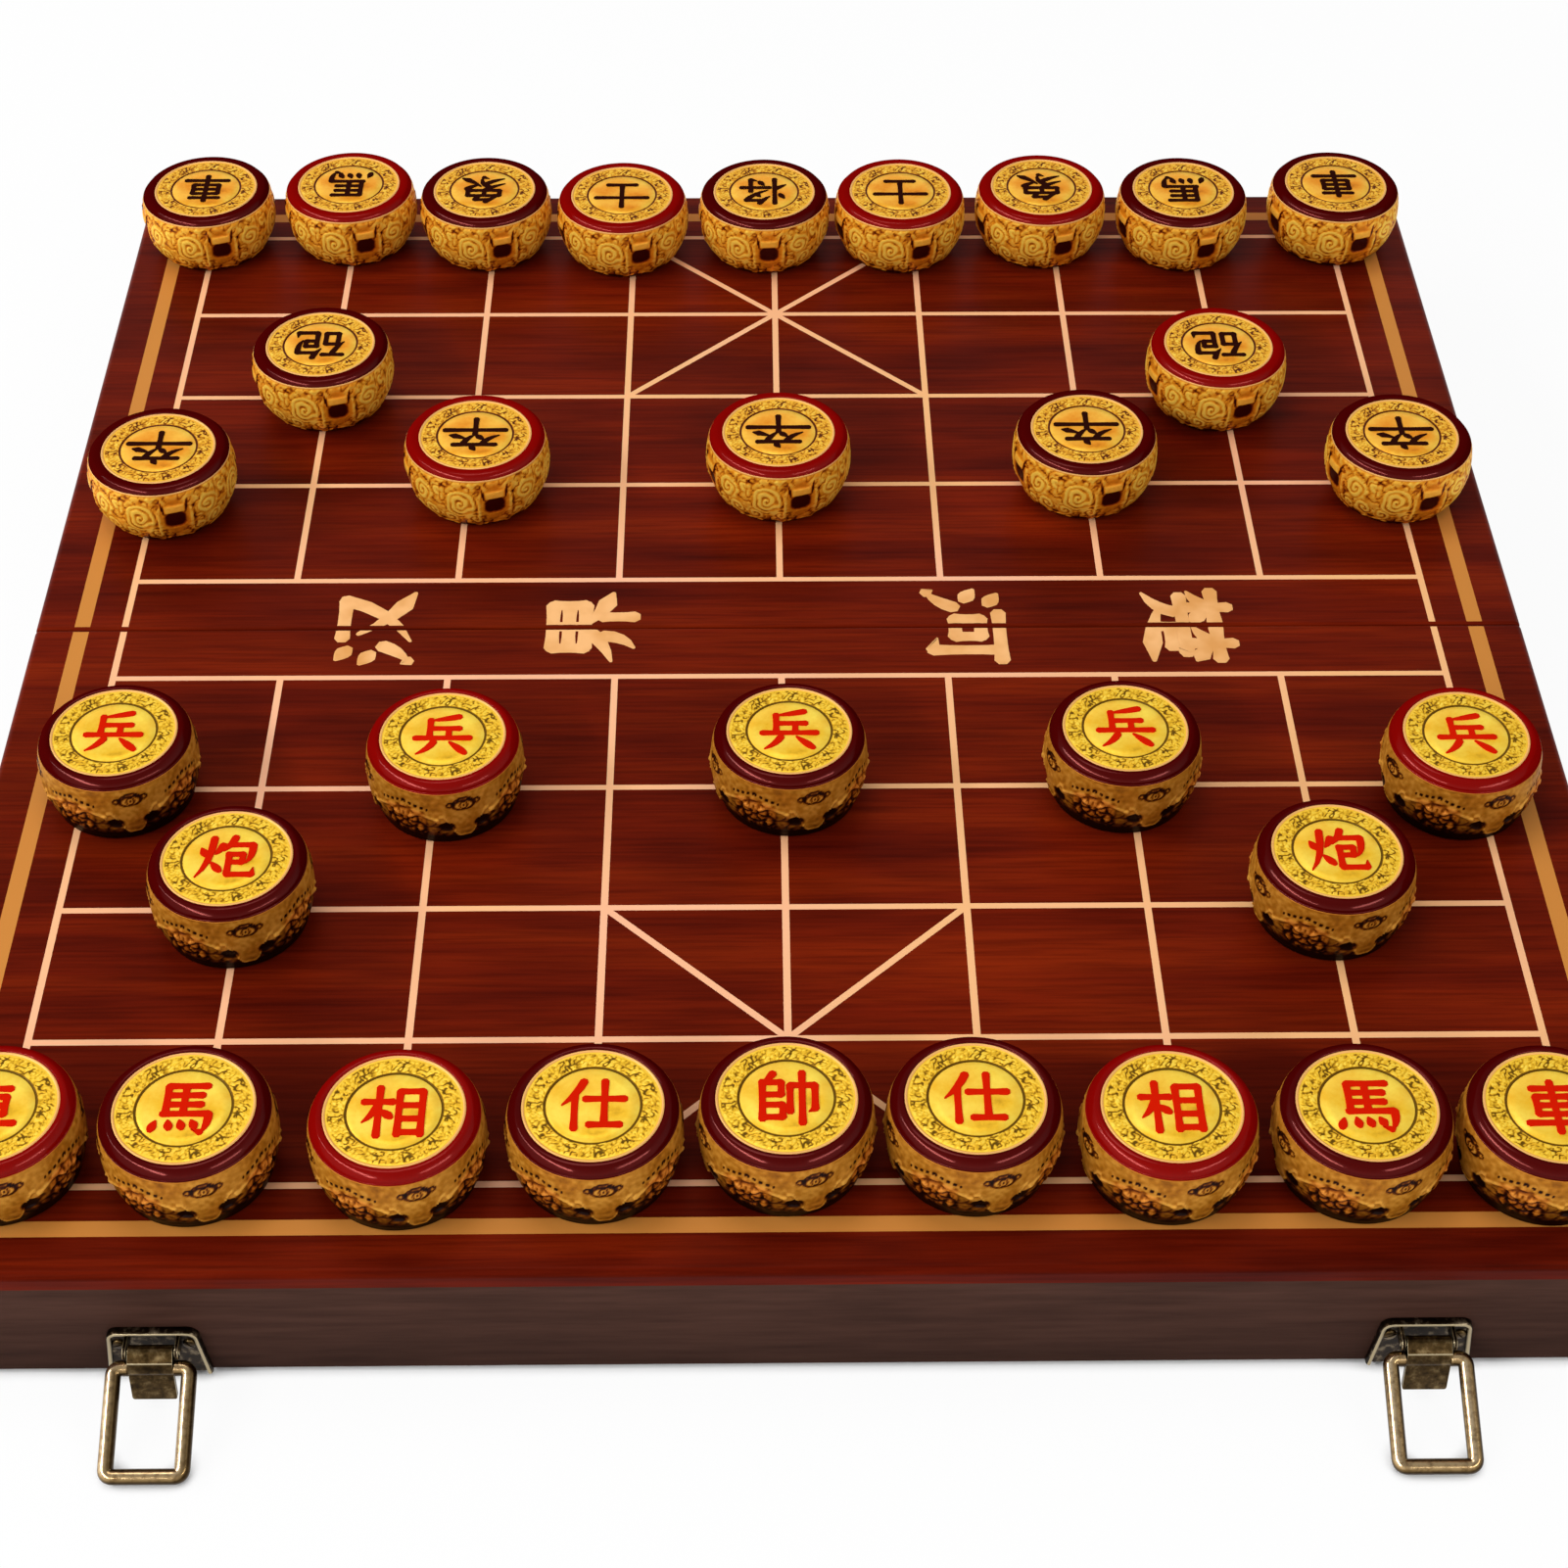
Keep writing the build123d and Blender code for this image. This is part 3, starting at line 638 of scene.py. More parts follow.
def cloud_side(across, height, spot):
    """Relief in mm, patina and redness on a far man: coiled clouds and a square boss at each quarter, with painted
    shade towards the foot.
    """
    drift = noise.noise(spot * 0.16)
    swerve = 0.9 * noise.noise_vector(spot * 0.3)
    warm = 0.55 * drift + 0.5 * (1 - soft(abs(across - 2.0), 3.0, 7.0))
    line = threads(spot, 0.42, 0.16)
    lift, patina_and_painted_shade = 0.26 * (1 - line), 0.24 + 0.40 * line + 0.36 * noise.noise(spot * 0.6)
    for middle, level, size, pitch, hand in cloud_coils:
        ridge, share = coil(across - middle + swerve.x, 0.92 * (height - level) + swerve.y, size, pitch, hand)
        if share > 0:
            groove = (1 - soft(ridge, 0.05, 0.6)) * (0.75 + 0.5 * noise.noise(spot * 0.5))
            lift = lift * (1 - share) + (0.36 - 0.30 * groove) * share
            patina_and_painted_shade = patina_and_painted_shade * (1 - share) + (0.02 + 0.62 * groove) * share
            warm *= 1 - 0.8 * share
    clear = soft(hypot(across / 5.8, (height - 12.5) / 8.0), 0.7, 1.0)
    lift, patina_and_painted_shade = lift * clear + 0.1 * (1 - clear), patina_and_painted_shade * clear + 0.42 * (1 - clear)
    for hand in (1, -1):
        post = bump_at(across - hand * 5.0, height - 11.0, 0.6, 5.0)
        gap = bump_at(across - hand * 6.0, height - 10.6, 0.5, 4.6)
        horn = bump_at(across - hand * (3.1 + 0.20 * (height - 14.0)), height - 16.6, 0.45, 2.4)
        lift += 0.25 * post + 0.3 * horn - 0.15 * gap
        patina_and_painted_shade += 0.34 * gap + 0.60 * horn - 0.20 * post
    cap = 1 - soft(max(abs(across) / 3.1, abs(height - 16.0) / 1.3), 0.8, 1.15)
    boss = 1 - soft(max(abs(across) / 3.5, abs(height - 11.6) / 3.1, hypot(across / 3.9, (height - 11.6) / 3.6)), 0.78, 1.06)
    lift += 0.4 * cap - 0.5 * boss
    patina_and_painted_shade = patina_and_painted_shade * (1 - cap) + 0.16 * cap
    patina_and_painted_shade = patina_and_painted_shade * (1 - boss) + 0.9 * boss
    hem = 2.3 + 0.9 * cos(across * 2 * pi / quarter * 2)
    lip = bump_at(0, height - hem, 1, 0.55)
    under = 1 - soft(height, hem - 1.0, hem - 0.2)
    hollow = bump_at(abs(across) - 9.8, height - 1.7, 3.2, 1.0)
    lift += 0.25 * lip - 0.3 * hollow
    # The last term darkens the tone towards the foot: painted shade where the man stands on the board.
    patina_and_painted_shade += 0.30 * under - 0.30 * lip + 0.8 * hollow + 0.36 * (1 - soft(height, 0.8, 8.5))
    return lift, patina_and_painted_shade, warm + 0.5 * lip + 0.6 * boss


def petal_side(across, height, spot):
    """Relief in mm, patina and redness on a near man: a plain band with an eye motif over two
    scrolls, a hem that waves round him, a row of punched dots and a flower at each quarter,
    with painted shade towards the foot."""
    side = abs(across)
    drift = noise.noise(spot * 0.18)
    lift, patina_and_painted_shade, warm = 0.15, 0.30 + 0.14 * drift + 0.18 * noise.noise(spot * 0.8), 0.3 * drift
    hem = 12.2 + 0.8 * sin(0.6 * side + 0.4) + 0.5 * drift
    if side < 7.0:
        hem = 4.0 + 8.6 * soft(side, 1.4, 6.2)
    under = 1 - soft(height, hem - 0.5, hem + 0.3)
    ridge = bump_at(0, height - hem - 0.3, 1, 0.55)
    fold = threads(Vector((spot.x, spot.y, spot.z * 1.6)), 0.24, 0.12) * soft(height, 2.0, 5.0)
    lift += 0.30 * ridge - 0.30 * under - 0.2 * fold * under
    patina_and_painted_shade += 0.20 * under + 0.24 * fold * under - 0.36 * ridge
    # Painted shade: darker towards the foot, where the man stands on the board.
    patina_and_painted_shade += 0.66 * (1 - soft(height, 0.8, 8.0))
    hollow = bump_at(side - 5.0, height - 8.4, 2.1, 1.8)
    scroll = bump_at(side - 7.0, height - 11.2, 1.9, 1.1)
    lift += 0.35 * scroll - 0.6 * hollow
    patina_and_painted_shade += 0.85 * hollow - 0.3 * scroll
    warm += 0.7 * hollow
    if side < 5.6 and height > 13.5:
        lid = hypot(across / 3.0, (height - 16.7) / 1.6)
        iris = hypot(across, height - 16.7)
        curl_end = hypot(side - 3.9, height - 17.0)
        drawn = max(
            1 - soft(abs(lid - 1.0), 0.10, 0.30), 1 - soft(abs(iris - 1.1), 0.10, 0.38), 1 - soft(iris, 0.25, 0.5),
            1 - soft(abs(curl_end - 0.75), 0.12, 0.4),
            (1 - soft(abs(height - 19.0 + 0.13 * across * across), 0.12, 0.42)) * (1 - soft(side, 3.0, 3.6)),
        )
        raised = 1 - soft(lid, 1.0, 1.4)
        lift += 0.25 * raised - 0.15 * drawn
        patina_and_painted_shade += 0.55 * drawn - 0.12 * raised * (1 - drawn)
        warm += 0.5 * drawn
    string = 15.6 + 0.28 * (side - 11.0)
    if side > 10.0:
        hole = 1 - soft(hypot((side + 0.85) % 1.7 - 0.85, height - string), 0.28, 0.62)
        lift -= 0.2 * hole
        patina_and_painted_shade += 0.85 * hole
    beyond = soft(side, 10.0, 12.0) * soft(height - 4.5, 0.0, 2.0) * (1 - soft(height - string, -1.7, -0.9))
    if beyond > 0:
        out, rise = quarter / 2 - side, height - 10.8 - 0.4 * drift
        reach, turn = hypot(out, rise), atan2(rise, out)
        petals = 0.5 + 0.5 * cos(9 * turn + 1.2 * sin(reach))
        rings = 0.5 + 0.5 * cos(2 * pi * reach / 2.8 + 0.5 * petals)
        cut = max(1 - soft(petals, 0.05, 0.6), 1 - soft(rings, 0.02, 0.45))
        lift += beyond * (0.36 - 0.5 * cut)
        patina_and_painted_shade += beyond * (0.50 * cut - 0.18)
        warm += 0.75 * beyond
    return lift, patina_and_painted_shade, warm


def medal_face(turn, radius, spot):
    """Relief in mm, patina and redness on a medal: a band of small broken curls inside a fine rim."""
    if radius < 12.2:
        return 0.0, 0.95 if radius > 11.7 else 0.22 + 0.34 * noise.noise(spot * 0.17), 0.7 * noise.noise(spot * 0.11)
    band = soft(radius, 12.2, 12.7) * (1 - soft(radius, 16.2, 16.7))
    knot = soft(cos(11 * turn + 0.9 * sin(3 * turn)), -0.2, 0.8) * bump_at(0, radius - 14.5, 1, 2.0)
    curls = threads(spot, 0.70, 0.2)
    fine = threads(spot + Vector((40, 0, 0)), 0.95, 0.26)
    shade = 0.16 + curls * (0.30 + 0.50 * knot) + 0.26 * fine + 0.14 * noise.noise(spot * 0.4)
    return 0.14 * (1 - curls) * band, shade * band + 0.2 * (1 - band), 0.5 * noise.noise(spot * 0.15)


def carve_drum(army, side):
    """A whole drum in mm, standing on its foot at the origin, its front towards +X."""
    drum = bmesh.new()
    painted_light_and_patina = drum.verts.layers.float.new("patina_and_painted_shade")
    redder = drum.verts.layers.float.new("redness")
    line = [drum.verts.new((radius, 0, height)) for radius, height in drum_edge(army)]
    for lower, upper in zip(line, line[1:]):
        drum.edges.new((lower, upper))
    bmesh.ops.spin(
        drum, geom=drum.verts[:] + drum.edges[:], cent=(0, 0, 0), axis=(0, 0, 1),
        angle=2 * pi, steps=drum_steps, use_merge=True,
    )
    bmesh.ops.remove_doubles(drum, verts=drum.verts, dist=0.001)
    bmesh.ops.recalc_face_normals(drum, faces=drum.faces)
    side_top, edge = shapes[army]["top"], shapes[army]["medal"]
    for face in drum.faces:
        middle = face.calc_center_median()
        radius = hypot(middle.x, middle.y)
        face.smooth = True
        if middle.z > side_top + 0.45 and radius > edge + 0.05:
            face.material_index = 1
        elif middle.z > 21.0 and radius > edge - 0.72:
            face.material_index = 3
        elif middle.z > 21.0:
            face.material_index = 2
    for vert in drum.verts:
        radius, height = hypot(vert.co.x, vert.co.y), vert.co.z
        turn = atan2(vert.co.y, vert.co.x)
        if side_bottom <= height < side_top:
            across = (turn * 22.02 + quarter / 2) % quarter - quarter / 2
            lift, patina_and_painted_shade, warm = side(across, height, vert.co)
            scale = 1 + lift * soft(height, side_bottom, 1.6) * (1 - soft(height, side_top - 1, side_top)) / radius
            vert.co.x *= scale
            vert.co.y *= scale
        elif height > 22.8 and radius < edge - 0.75:
            lift, patina_and_painted_shade, warm = medal_face(turn, radius, vert.co)
            vert.co.z += lift
            warm += shapes[army]["blush"] * (1 - soft(radius, 10.5, 12.0))
        else:
            # The foot ring and base are set dark, as painted shade under the man; the bead and rim take a plain tone.
            patina_and_painted_shade, warm = (0.95, 0.0) if height < side_bottom else (0.3, 0.4)
        vert[painted_light_and_patina] = min(1.0, max(0.0, patina_and_painted_shade))
        vert[redder] = min(1.0, max(0.0, warm))
    made = bpy.data.meshes.new(army + "_drum")
    drum.to_mesh(made)
    drum.free()
    return made


def gloss(material, head_on, glancing, fade):
    """A varnish that shines less at a glance than bare Fresnel would have it."""
    facing = node(material, "LayerWeight", Blend=0.5)
    fall = node(material, "MapRange", clamp=True)
    for place, value in (("From Min", 0.1), ("From Max", fade), ("To Min", head_on), ("To Max", glancing)):
        fall.inputs[place].default_value = value
    wire(material, facing.outputs["Facing"], fall.inputs["Value"])
    wire(material, fall.outputs["Result"], shader_of(material).inputs["Specular IOR Level"])


def gilding(name, bright, middle, deep, dark, flush):
    """Gold paint over resin, darker where the patina and the painted shade at the foot lie, redder where the gold is
    thin.
    """
    gold = finish(name, middle, 0.36, metallic=0.25)
    gloss(gold, 0.12, 0.01, 0.6)
    painted_light_and_patina = node(gold, "Attribute", attribute_name="patina_and_painted_shade").outputs["Fac"]
    redder = node(gold, "Attribute", attribute_name="redness").outputs["Fac"]
    speckle = grain(gold, (1.0, 1.0, 1.0), 700.0, 4.0)
    uneven = node(gold, "Math", operation="MULTIPLY_ADD")
    uneven.inputs[1].default_value = 0.3
    wire(gold, speckle, uneven.inputs[0])
    wire(gold, painted_light_and_patina, uneven.inputs[2])
    tone = shades(gold, uneven.outputs[0], (0.20, bright), (0.50, middle), (0.80, deep), (1.0, dark))
    warmed = node(gold, "Math", operation="MULTIPLY")
    warmed.inputs[1].default_value = 0.8
    wire(gold, redder, warmed.inputs[0])
    wire(gold, mixed(gold, warmed.outputs[0], tone, (*flush, 1), "MULTIPLY"), shader_of(gold).inputs["Base Color"])
    dent(gold, speckle, 0.15, 0.0003)
    return gold


thin_gold = (0.98, 0.62, 0.45)
petal_gilding = gilding(
    "petal_gilding", paint(222, 158, 62), paint(174, 110, 26), paint(86, 38, 7), paint(24, 7, 3), (1.0, 0.58, 0.52)
)
cloud_gilding = gilding(
    "cloud_gilding", paint(255, 208, 80), paint(234, 152, 32), paint(148, 66, 6), paint(54, 8, 3), thin_gold
)
near_medal = gilding(
    "near_medal", paint(255, 222, 84), paint(242, 190, 44), paint(156, 110, 10), paint(100, 72, 6), thin_gold
)
far_medal = gilding(
    "far_medal", paint(255, 216, 86), paint(238, 170, 42), paint(156, 88, 10), paint(84, 34, 4), thin_gold
)
medal_rim = finish("medal_rim", paint(240, 180, 104), 0.4, metallic=0.2, specular=0.05)
dark_lacquer = finish("dark_lacquer", paint(70, 3, 3), 0.13)
red_lacquer = finish("red_lacquer", paint(128, 5, 3), 0.13)
for lacquer_coat in (dark_lacquer, red_lacquer):
    gloss(lacquer_coat, 0.38, 0.0, 0.32)
    shader_of(lacquer_coat).inputs["Specular Tint"].default_value = (1.0, 0.25, 0.22, 1)
red_mark = finish("red_mark", paint(206, 26, 4), 0.6, specular=0.0)
black_mark = finish("black_mark", paint(42, 14, 9), 0.6, specular=0.0)

# ---- The men's marks
# Every man carries the one plain word that players know him by, brushed in enamel on his medal.
# A mark is a few strokes: bars, strokes that fall away, strokes that press out, dots and hooks.
words = {
    "chariot": "b 20,86 80,86;b 24,70 76,70;b 24,70 24,36;b 76,70 76,36;b 24,53 76,53;b 24,36 76,36;"
               "b 6,19 94,19;b 50,99 50,1",
    "horse": "b 24,92 24,38;b 24,92 82,92;b 24,74 76,74;b 24,56 76,56;b 50,92 50,38;b 20,38 88,38;"
             "f 88,38 90,16 80,2;k 80,2 66,8;d 12,24 6,6;d 30,25 33,9;d 47,25 52,10;d 64,25 71,12",
    "red_elephant": "b 4,68 48,68;b 27,96 27,2;f 27,66 20,42 4,28;d 29,52 46,38;b 57,88 57,4;b 57,88 91,88;"
                    "b 91,88 91,4;b 57,61 91,61;b 57,35 91,35;b 57,9 91,9",
    "red_advisor": "f 36,97 26,70 4,50;b 23,70 23,4;b 38,62 97,62;b 67,97 67,12;b 44,12 91,12",
    "red_general": "f 30,98 26,90 16,82;b 14,82 14,8;b 14,80 42,80;b 42,80 42,56;b 14,56 42,56;b 14,36 44,36;"
                   "b 44,36 44,12;b 14,12 44,12;b 55,74 55,22;b 55,74 92,74;b 92,74 92,28;k 92,28 82,22;"
                   "b 73,99 73,0",
    "red_cannon": "d 8,72 16,56;f 42,80 38,66 31,58;f 26,96 26,36 4,6;d 26,40 42,20;f 60,98 56,80 44,66;"
                  "b 52,80 90,80;f 90,80 92,52 82,38;b 52,58 76,58;b 76,58 76,40;b 54,40 76,40;b 54,58 54,14;"
                  "b 54,12 94,12;k 94,12 95,28",
    "red_soldier": "f 76,98 54,92 28,88;b 28,90 28,46;b 28,68 78,68;b 60,68 60,46;b 4,44 96,44;f 36,34 28,16 8,4;"
                   "d 62,34 90,6",
    "black_elephant": "f 46,99 36,86 18,74;b 40,90 68,90;f 68,90 64,80 56,74;b 18,74 84,74;b 18,74 18,54;"
                      "b 84,74 84,54;b 18,54 84,54;b 50,74 50,54;f 50,54 36,38 8,28;f 38,42 64,26 54,2;"
                      "k 54,2 42,8;f 50,30 34,16 10,8;f 88,48 78,38 62,32;p 58,38 74,18 98,6",
    "black_advisor": "b -4,62 104,62;b 50,98 50,14;b 20,12 80,12",
    "black_general": "b 28,98 28,2;d 8,78 17,62;f 26,40 16,32 4,24;f 60,98 52,82 38,70;b 54,86 88,86;"
                     "f 88,86 74,60 42,46;d 58,72 68,60;b 38,36 98,36;b 78,52 78,4;k 78,4 64,10;d 50,27 60,13",
    "black_cannon": "b 4,86 44,86;f 26,86 18,58 4,42;b 16,50 40,50;b 16,50 16,14;b 40,50 40,14;b 16,14 40,14;"
                    "f 62,98 58,80 47,66;b 55,80 92,80;f 92,80 94,52 84,38;b 55,58 78,58;b 78,58 78,40;"
                    "b 57,40 78,40;b 57,58 57,14;b 57,12 95,12;k 95,12 96,28",
    "black_soldier": "d 48,100 56,88;b 10,82 90,82;f 36,80 28,62 4,52;d 33,66 46,54;f 72,80 66,64 50,50;"
                     "p 64,66 78,56 98,52;b -8,36 108,36;b 50,50 50,0",
    "han": "d 8,88 22,76;d 2,60 16,48;f 26,36 20,18 6,4;k 6,4 2,12;b 36,84 86,84;f 88,86 74,30 32,4;"
           "p 42,66 62,24 98,4",
    "jie": "b 22,96 22,58;b 22,96 80,96;b 80,96 80,58;b 22,77 80,77;b 51,96 51,58;b 22,58 80,58;"
           "f 46,56 32,36 4,26;p 54,56 68,38 97,26;f 38,36 38,14 22,0;b 64,38 64,0",
    "he": "d 8,88 22,76;d 2,60 16,48;f 26,36 20,18 6,4;k 6,4 2,12;b 34,88 98,88;b 84,88 84,8;k 84,8 68,14;"
          "b 42,66 42,36;b 42,66 66,66;b 66,66 66,36;b 42,36 66,36",
    "chu": "b 4,82 46,82;b 26,100 26,52;f 26,80 20,62 4,54;d 28,72 44,58;b 54,82 96,82;b 75,100 75,52;"
           "f 75,80 68,64 52,54;p 76,78 84,64 98,54;b 10,44 88,44;k 88,44 80,32;b 52,44 52,12;b 52,28 80,28;"
           "f 32,36 28,14 6,0;p 22,22 46,4 98,4",
}
press = {"b": (1.06, 0.92, 0.9, 0.94, 1.1), "f": (1.12, 1.1, 0.95, 0.66, 0.22), "p": (0.36, 0.62, 1.0, 1.35, 0.3),
         "d": (0.36, 0.8, 1.12, 1.2, 0.85), "k": (1.0, 0.8, 0.58, 0.36, 0.12)}


def stroke_line(points, widths):
    """The outline of one stroke: up one side, round its end and back down the other."""
    left, right = [], []
    for count, width in enumerate(widths):
        part = count / (len(widths) - 1)
        if len(points) == 2:
            spot = points[0].lerp(points[1], part)
            along = points[1] - points[0]
        else:
            first, second = points[0].lerp(points[1], part), points[1].lerp(points[2], part)
            spot, along = first.lerp(second, part), second - first
        along.normalize()
        square = Vector((-along.y, along.x))
        if count == 0:
            left.append(spot - along * width * 0.7 + square * width * 0.5)
            right.append(spot - along * width * 0.7 - square * width * 0.5)
        left.append(spot + square * width)
        right.append(spot - square * width)
        if count == len(widths) - 1:
            left.append(spot + along * width * 0.7 + square * width * 0.5)
            right.append(spot + along * width * 0.7 - square * width * 0.5)
    return left + right[::-1]


def brush_word(into, word, width, depth, pen, lift, base, material_index):
    """Lays a word's strokes into a bmesh, each a low closed shell with a softened top edge."""
    for number, stroke in enumerate(words[word].split(";")):
        kind, *places = stroke.split()
        points = [Vector(tuple(float(part) for part in place.split(","))) for place in places]
        points = [Vector(((p.x - 50) / 100 * width, (p.y - 50) / 100 * depth)) for p in points]
        line = stroke_line(points, [pen * part for part in press[kind]])
        verts = [into.verts.new((p.x, p.y, base)) for p in line]
        bottom = into.faces.new(verts)
        bottom.normal_update()
        if bottom.normal.z > 0:
            bottom.normal_flip()
        raised = bmesh.ops.extrude_face_region(into, geom=[bottom], use_keep_orig=True)["geom"]
        top = [face for face in raised if isinstance(face, bmesh.types.BMFace)]
        bmesh.ops.translate(
            into, verts=[v for v in raised if isinstance(v, bmesh.types.BMVert)], vec=(0, 0, lift + 0.006 * number)
        )
        bmesh.ops.reverse_faces(into, faces=top)
        bmesh.ops.inset_region(into, faces=top, thickness=pen * 0.22, depth=lift * 0.35, use_even_offset=True)
        shell = {face for vert in verts for face in vert.link_faces}
        shell |= {face for edge in top[0].edges for face in edge.link_faces}
        shell |= {face for known in list(shell) for edge in known.edges for face in edge.link_faces}
        for face in shell:
            face.material_index = material_index
        bmesh.ops.recalc_face_normals(into, faces=list(shell))


def place_men():
    drums = {"red": carve_drum("red", petal_side), "black": carve_drum("black", cloud_side)}
    finishes = {"red": (petal_gilding, near_medal, red_mark), "black": (cloud_gilding, far_medal, black_mark)}
    usual_front = -72
    fronts = {
        "red_advisor_left": -82, "red_advisor_right": -75, "black_general": -86,
    }
    brighter = {
        "red_elephant_left", "red_elephant_right", "red_chariot_left", "red_soldier_2", "red_soldier_5",
        "black_horse_left", "black_advisor_left", "black_advisor_right", "black_elephant_right",
        "black_cannon_right", "black_soldier_2", "black_soldier_3",
    }
    for name in nodes:
        army = name.split("_")[0]
        if army not in drums:
            continue
        rank = name.split("_")[1]
        word = rank if rank in words else f"{army}_{rank}"
        man = bmesh.new()
        brush_word(man, word, 16.8, 16.2, 0.98 if army == "red" else 0.9, 0.2, medal_height + 0.03, 4)
        if army == "black":
            bmesh.ops.rotate(man, verts=man.verts, cent=(0, 0, 0), matrix=Matrix.Rotation(pi, 3, "Z"))
        brushed = len(man.verts)
        man.from_mesh(drums[army])
        front = Matrix.Rotation(radians(fronts.get(name, usual_front)), 3, "Z")
        bmesh.ops.rotate(man, verts=man.verts[brushed:], cent=(0, 0, 0), matrix=front)
        low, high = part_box(name)
        bmesh.ops.scale(man, verts=man.verts, vec=(0.001, 0.001, 0.001))
        bmesh.ops.translate(man, verts=man.verts, vec=((low.x + high.x) / 2, (low.y + high.y) / 2, low.z))
        shape = bpy.data.meshes.new(name + "_man")
        man.to_mesh(shape)
        man.free()
        side, medal, mark = finishes[army]
        for material in (side, red_lacquer if name in brighter else dark_lacquer, medal, medal_rim, mark):
            shape.materials.append(material)
        piece = bpy.data.objects.new(name + "_man", shape)
        bpy.context.scene.collection.objects.link(piece)
        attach(piece, name)
        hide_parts(name)


place_men()

# ---- River words
# The two names of the river bank are cut through and inlaid in a deeper gilt than the lattice,
# turned to face the ends of the board. The fold runs through the middle of each.
gilt_words = finish("gilt_words", paint(240, 176, 108), 0.5, specular=0.12)
words_tone = shades(gilt_words, grain(gilt_words, (1.0, 1.0, 1.0), 60.0, 3.0), (0.36, paint(224, 158, 88)),
                    (0.62, paint(246, 186, 122)))
wire(gilt_words, words_tone, shader_of(gilt_words).inputs["Base Color"])


def place_river_words():
    seam_half = 1.15
    cut_into = {"far": bmesh.new(), "near": bmesh.new()}
    for word, x, y, turn in (
        ("han", -124.5, 0.0, 90), ("jie", -57.6, 0.0, 90), ("he", 57.0, 0.5, -90), ("chu", 124.8, 0.0, -90),
    ):
        for half, sign in (("far", 1), ("near", -1)):
            letter = bmesh.new()
            brush_word(letter, word, 34.0, 26.0, 2.25, 0.10, -0.05, 0)
            bmesh.ops.rotate(letter, verts=letter.verts, cent=(0, 0, 0), matrix=Matrix.Rotation(radians(turn), 3, "Z"))
            bmesh.ops.translate(letter, verts=letter.verts, vec=(x, y, 0))
            bmesh.ops.bisect_plane(
                letter, geom=letter.verts[:] + letter.edges[:] + letter.faces[:], plane_co=(0, sign * seam_half, 0),
                plane_no=(0, -sign, 0), clear_outer=True,
            )
            bmesh.ops.holes_fill(letter, edges=[edge for edge in letter.edges if edge.is_boundary], sides=0)
            bmesh.ops.dissolve_degenerate(letter, dist=0.0001, edges=letter.edges)
            bmesh.ops.recalc_face_normals(letter, faces=letter.faces)
            join(cut_into[half], letter)
    for half, letters in cut_into.items():
        bmesh.ops.scale(letters, verts=letters.verts, vec=(0.001, 0.001, 0.001))
        bmesh.ops.translate(letters, verts=letters.verts, vec=(0, seam_y, board_z))
        shape = bpy.data.meshes.new(half + "_river_words")
        letters.to_mesh(shape)
        letters.free()
        shape.materials.append(gilt_words)
        piece = bpy.data.objects.new(half + "_river_words", shape)
        bpy.context.scene.collection.objects.link(piece)
        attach(piece, half + "_half")


place_river_words()

# ---- Table, light and camera
# A plain white table under soft light from above and a long window at the left, seen from the near side.
def seen_plainly(tree):
    """1 for a ray that ends in the eye, straight or off a shiny or clear surface."""
    paths = tree.nodes.new("ShaderNodeLightPath")
    rays = paths.outputs["Is Camera Ray"]
    for kind in ("Is Glossy Ray", "Is Transmission Ray"):
        either = tree.nodes.new("ShaderNodeMath")
        either.operation = "MAXIMUM"
        tree.links.new(rays, either.inputs[0])
        tree.links.new(paths.outputs[kind], either.inputs[1])
        rays = either.outputs[0]
    return rays


table = bpy.data.objects.new("table", bpy.data.meshes.new("table"))
top = bmesh.new()
bmesh.ops.create_grid(top, x_segments=1, y_segments=1, size=6.0)
bmesh.ops.translate(top, verts=top.verts, vec=(0, 0, cad_box[0][2] - 0.0002))
top.to_mesh(table.data)
top.free()
bpy.context.scene.collection.objects.link(table)
white = bpy.data.materials.new("white_table")
white.use_nodes = True
shader_of(white).inputs["Base Color"].default_value = (0.88, 0.88, 0.88, 1)
shader_of(white).inputs["Roughness"].default_value = 1.0
shader_of(white).inputs["Specular IOR Level"].default_value = 0.0
glow = node(white, "Emission", Strength=1.0)
blend_glow = node(white, "MixShader")
reach = node(white, "VectorMath", operation="LENGTH")
wire(white, node(white, "TexCoord").outputs["Object"], reach.inputs[0])
clearing = node(white, "MapRange", clamp=True)
for name, value in (("From Min", 0.5), ("From Max", 1.1), ("To Min", 0.93), ("To Max", 1.0)):
    clearing.inputs[name].default_value = value
wire(white, reach.outputs["Value"], clearing.inputs["Value"])
# Painted contact shadow: where ambient occlusion finds the case close, the glow gives way and the table shows its lit
# shade.
near_by = node(white, "AmbientOcclusion", samples=16, Distance=0.005)
contact_shadow_mask = node(white, "MapRange", clamp=True)
for name, value in (("From Min", 0.42), ("From Max", 0.80)):
    contact_shadow_mask.inputs[name].default_value = value
wire(white, near_by.outputs["AO"], contact_shadow_mask.inputs["Value"])
open_white = node(white, "Math", operation="MULTIPLY")
wire(white, contact_shadow_mask.outputs["Result"], open_white.inputs[0])
wire(white, clearing.outputs["Result"], open_white.inputs[1])
part_seen = node(white, "Math", operation="MULTIPLY")
wire(white, seen_plainly(white.node_tree), part_seen.inputs[0])
wire(white, open_white.outputs[0], part_seen.inputs[1])
wire(white, part_seen.outputs[0], blend_glow.inputs["Fac"])
wire(white, shader_of(white).outputs["BSDF"], blend_glow.inputs[1])
wire(white, glow.outputs["Emission"], blend_glow.inputs[2])
wire(white, blend_glow.outputs["Shader"], white.node_tree.nodes["Material Output"].inputs["Surface"])
table.data.materials.append(white)

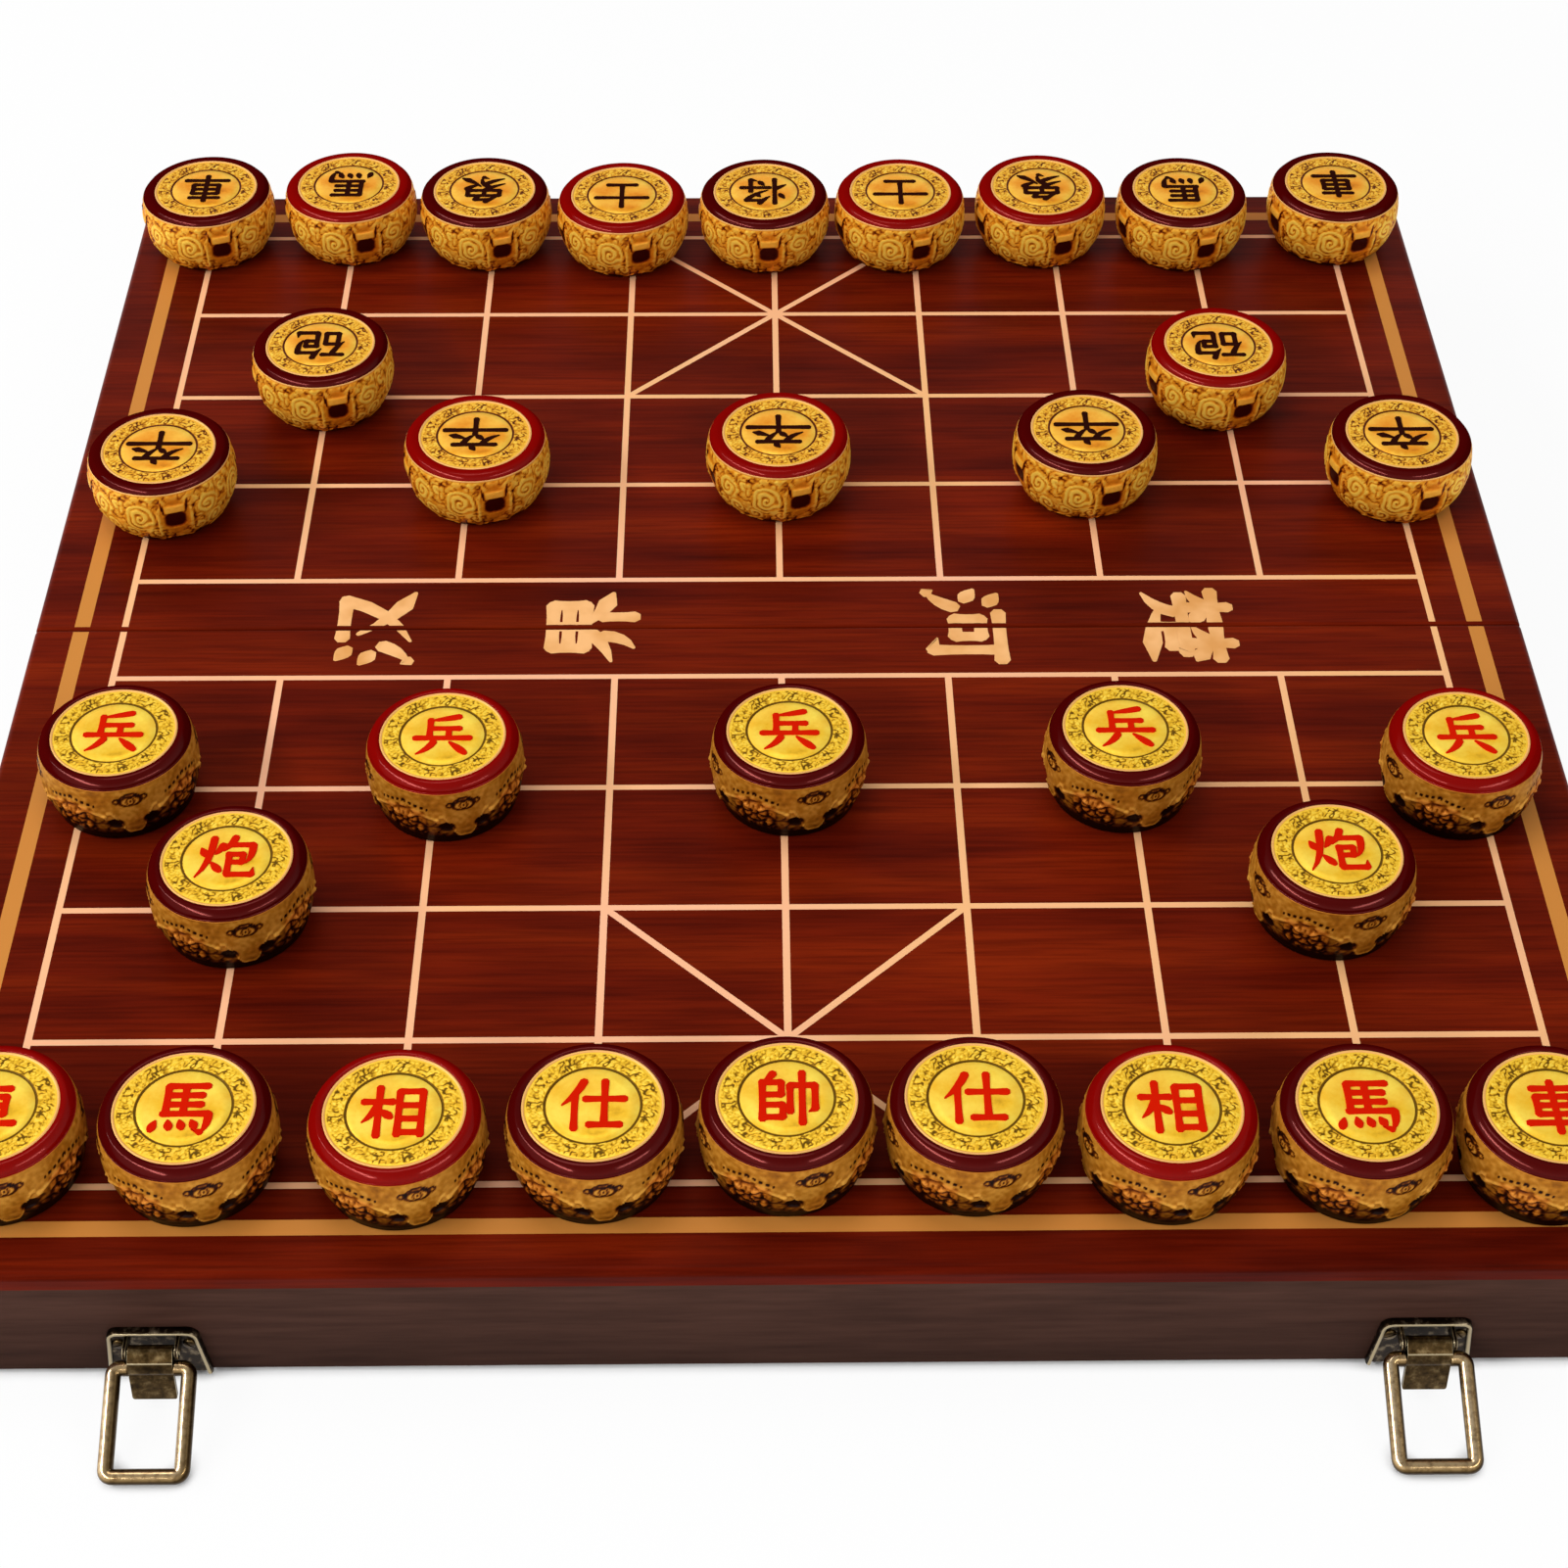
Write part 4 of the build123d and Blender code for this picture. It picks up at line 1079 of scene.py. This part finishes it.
world = bpy.data.worlds.new("studio")
world.use_nodes = True
bpy.context.scene.world = world
air = world.node_tree
strength = air.nodes.new("ShaderNodeMapRange")
strength.inputs["To Min"].default_value = 0.40
aloft = air.nodes.new("ShaderNodeSeparateXYZ")
air.links.new(air.nodes.new("ShaderNodeTexCoord").outputs["Generated"], aloft.inputs[0])
ceiling = air.nodes.new("ShaderNodeMapRange")
for name, value in (("From Min", 0.35), ("From Max", 0.75), ("To Min", 1.0), ("To Max", 0.35)):
    ceiling.inputs[name].default_value = value
air.links.new(aloft.outputs["Z"], ceiling.inputs["Value"])
air.links.new(ceiling.outputs["Result"], strength.inputs["To Max"])
air.links.new(seen_plainly(air), strength.inputs["Value"])
air.links.new(strength.outputs["Result"], air.nodes["Background"].inputs["Strength"])
air.nodes["Background"].inputs["Color"].default_value = (1, 1, 1, 1)


def lamp(name, place, aim, size, power):
    light = bpy.data.lights.new(name, "AREA")
    light.shape = "RECTANGLE"
    light.size, light.size_y = size
    light.energy = power
    stand = bpy.data.objects.new(name, light)
    stand.location = place
    stand.rotation_euler = (Vector(aim) - Vector(place)).to_track_quat("-Z", "Y").to_euler()
    bpy.context.scene.collection.objects.link(stand)


lamp("overhead", (-0.20, 0.30, 1.5), (0, 0, 0), (0.7, 0.5), 4)
lamp("window", (-1.40, -0.62, 1.20), (0, 0, 0.02), (2.8, 0.13), 31)
lamp("far_window", (0.95, -0.95, 0.95), (0, 0, 0.02), (1.0, 0.14), 5)

camera = bpy.data.objects.new("camera", bpy.data.cameras.new("camera"))
camera.data.sensor_width = 36
camera.data.lens = 64.45
turned = Matrix.Rotation(radians(-1.040), 4, "Z") @ Matrix.Rotation(radians(90 - 44.441), 4, "X")
turned = turned @ Matrix.Rotation(radians(0.450), 4, "Z")
camera.matrix_world = Matrix.Translation((-0.01032, seam_y - 0.64634, board_z + 0.56656)) @ turned
bpy.context.scene.collection.objects.link(camera)
bpy.context.scene.camera = camera
bpy.context.scene.view_settings.view_transform = "Standard"
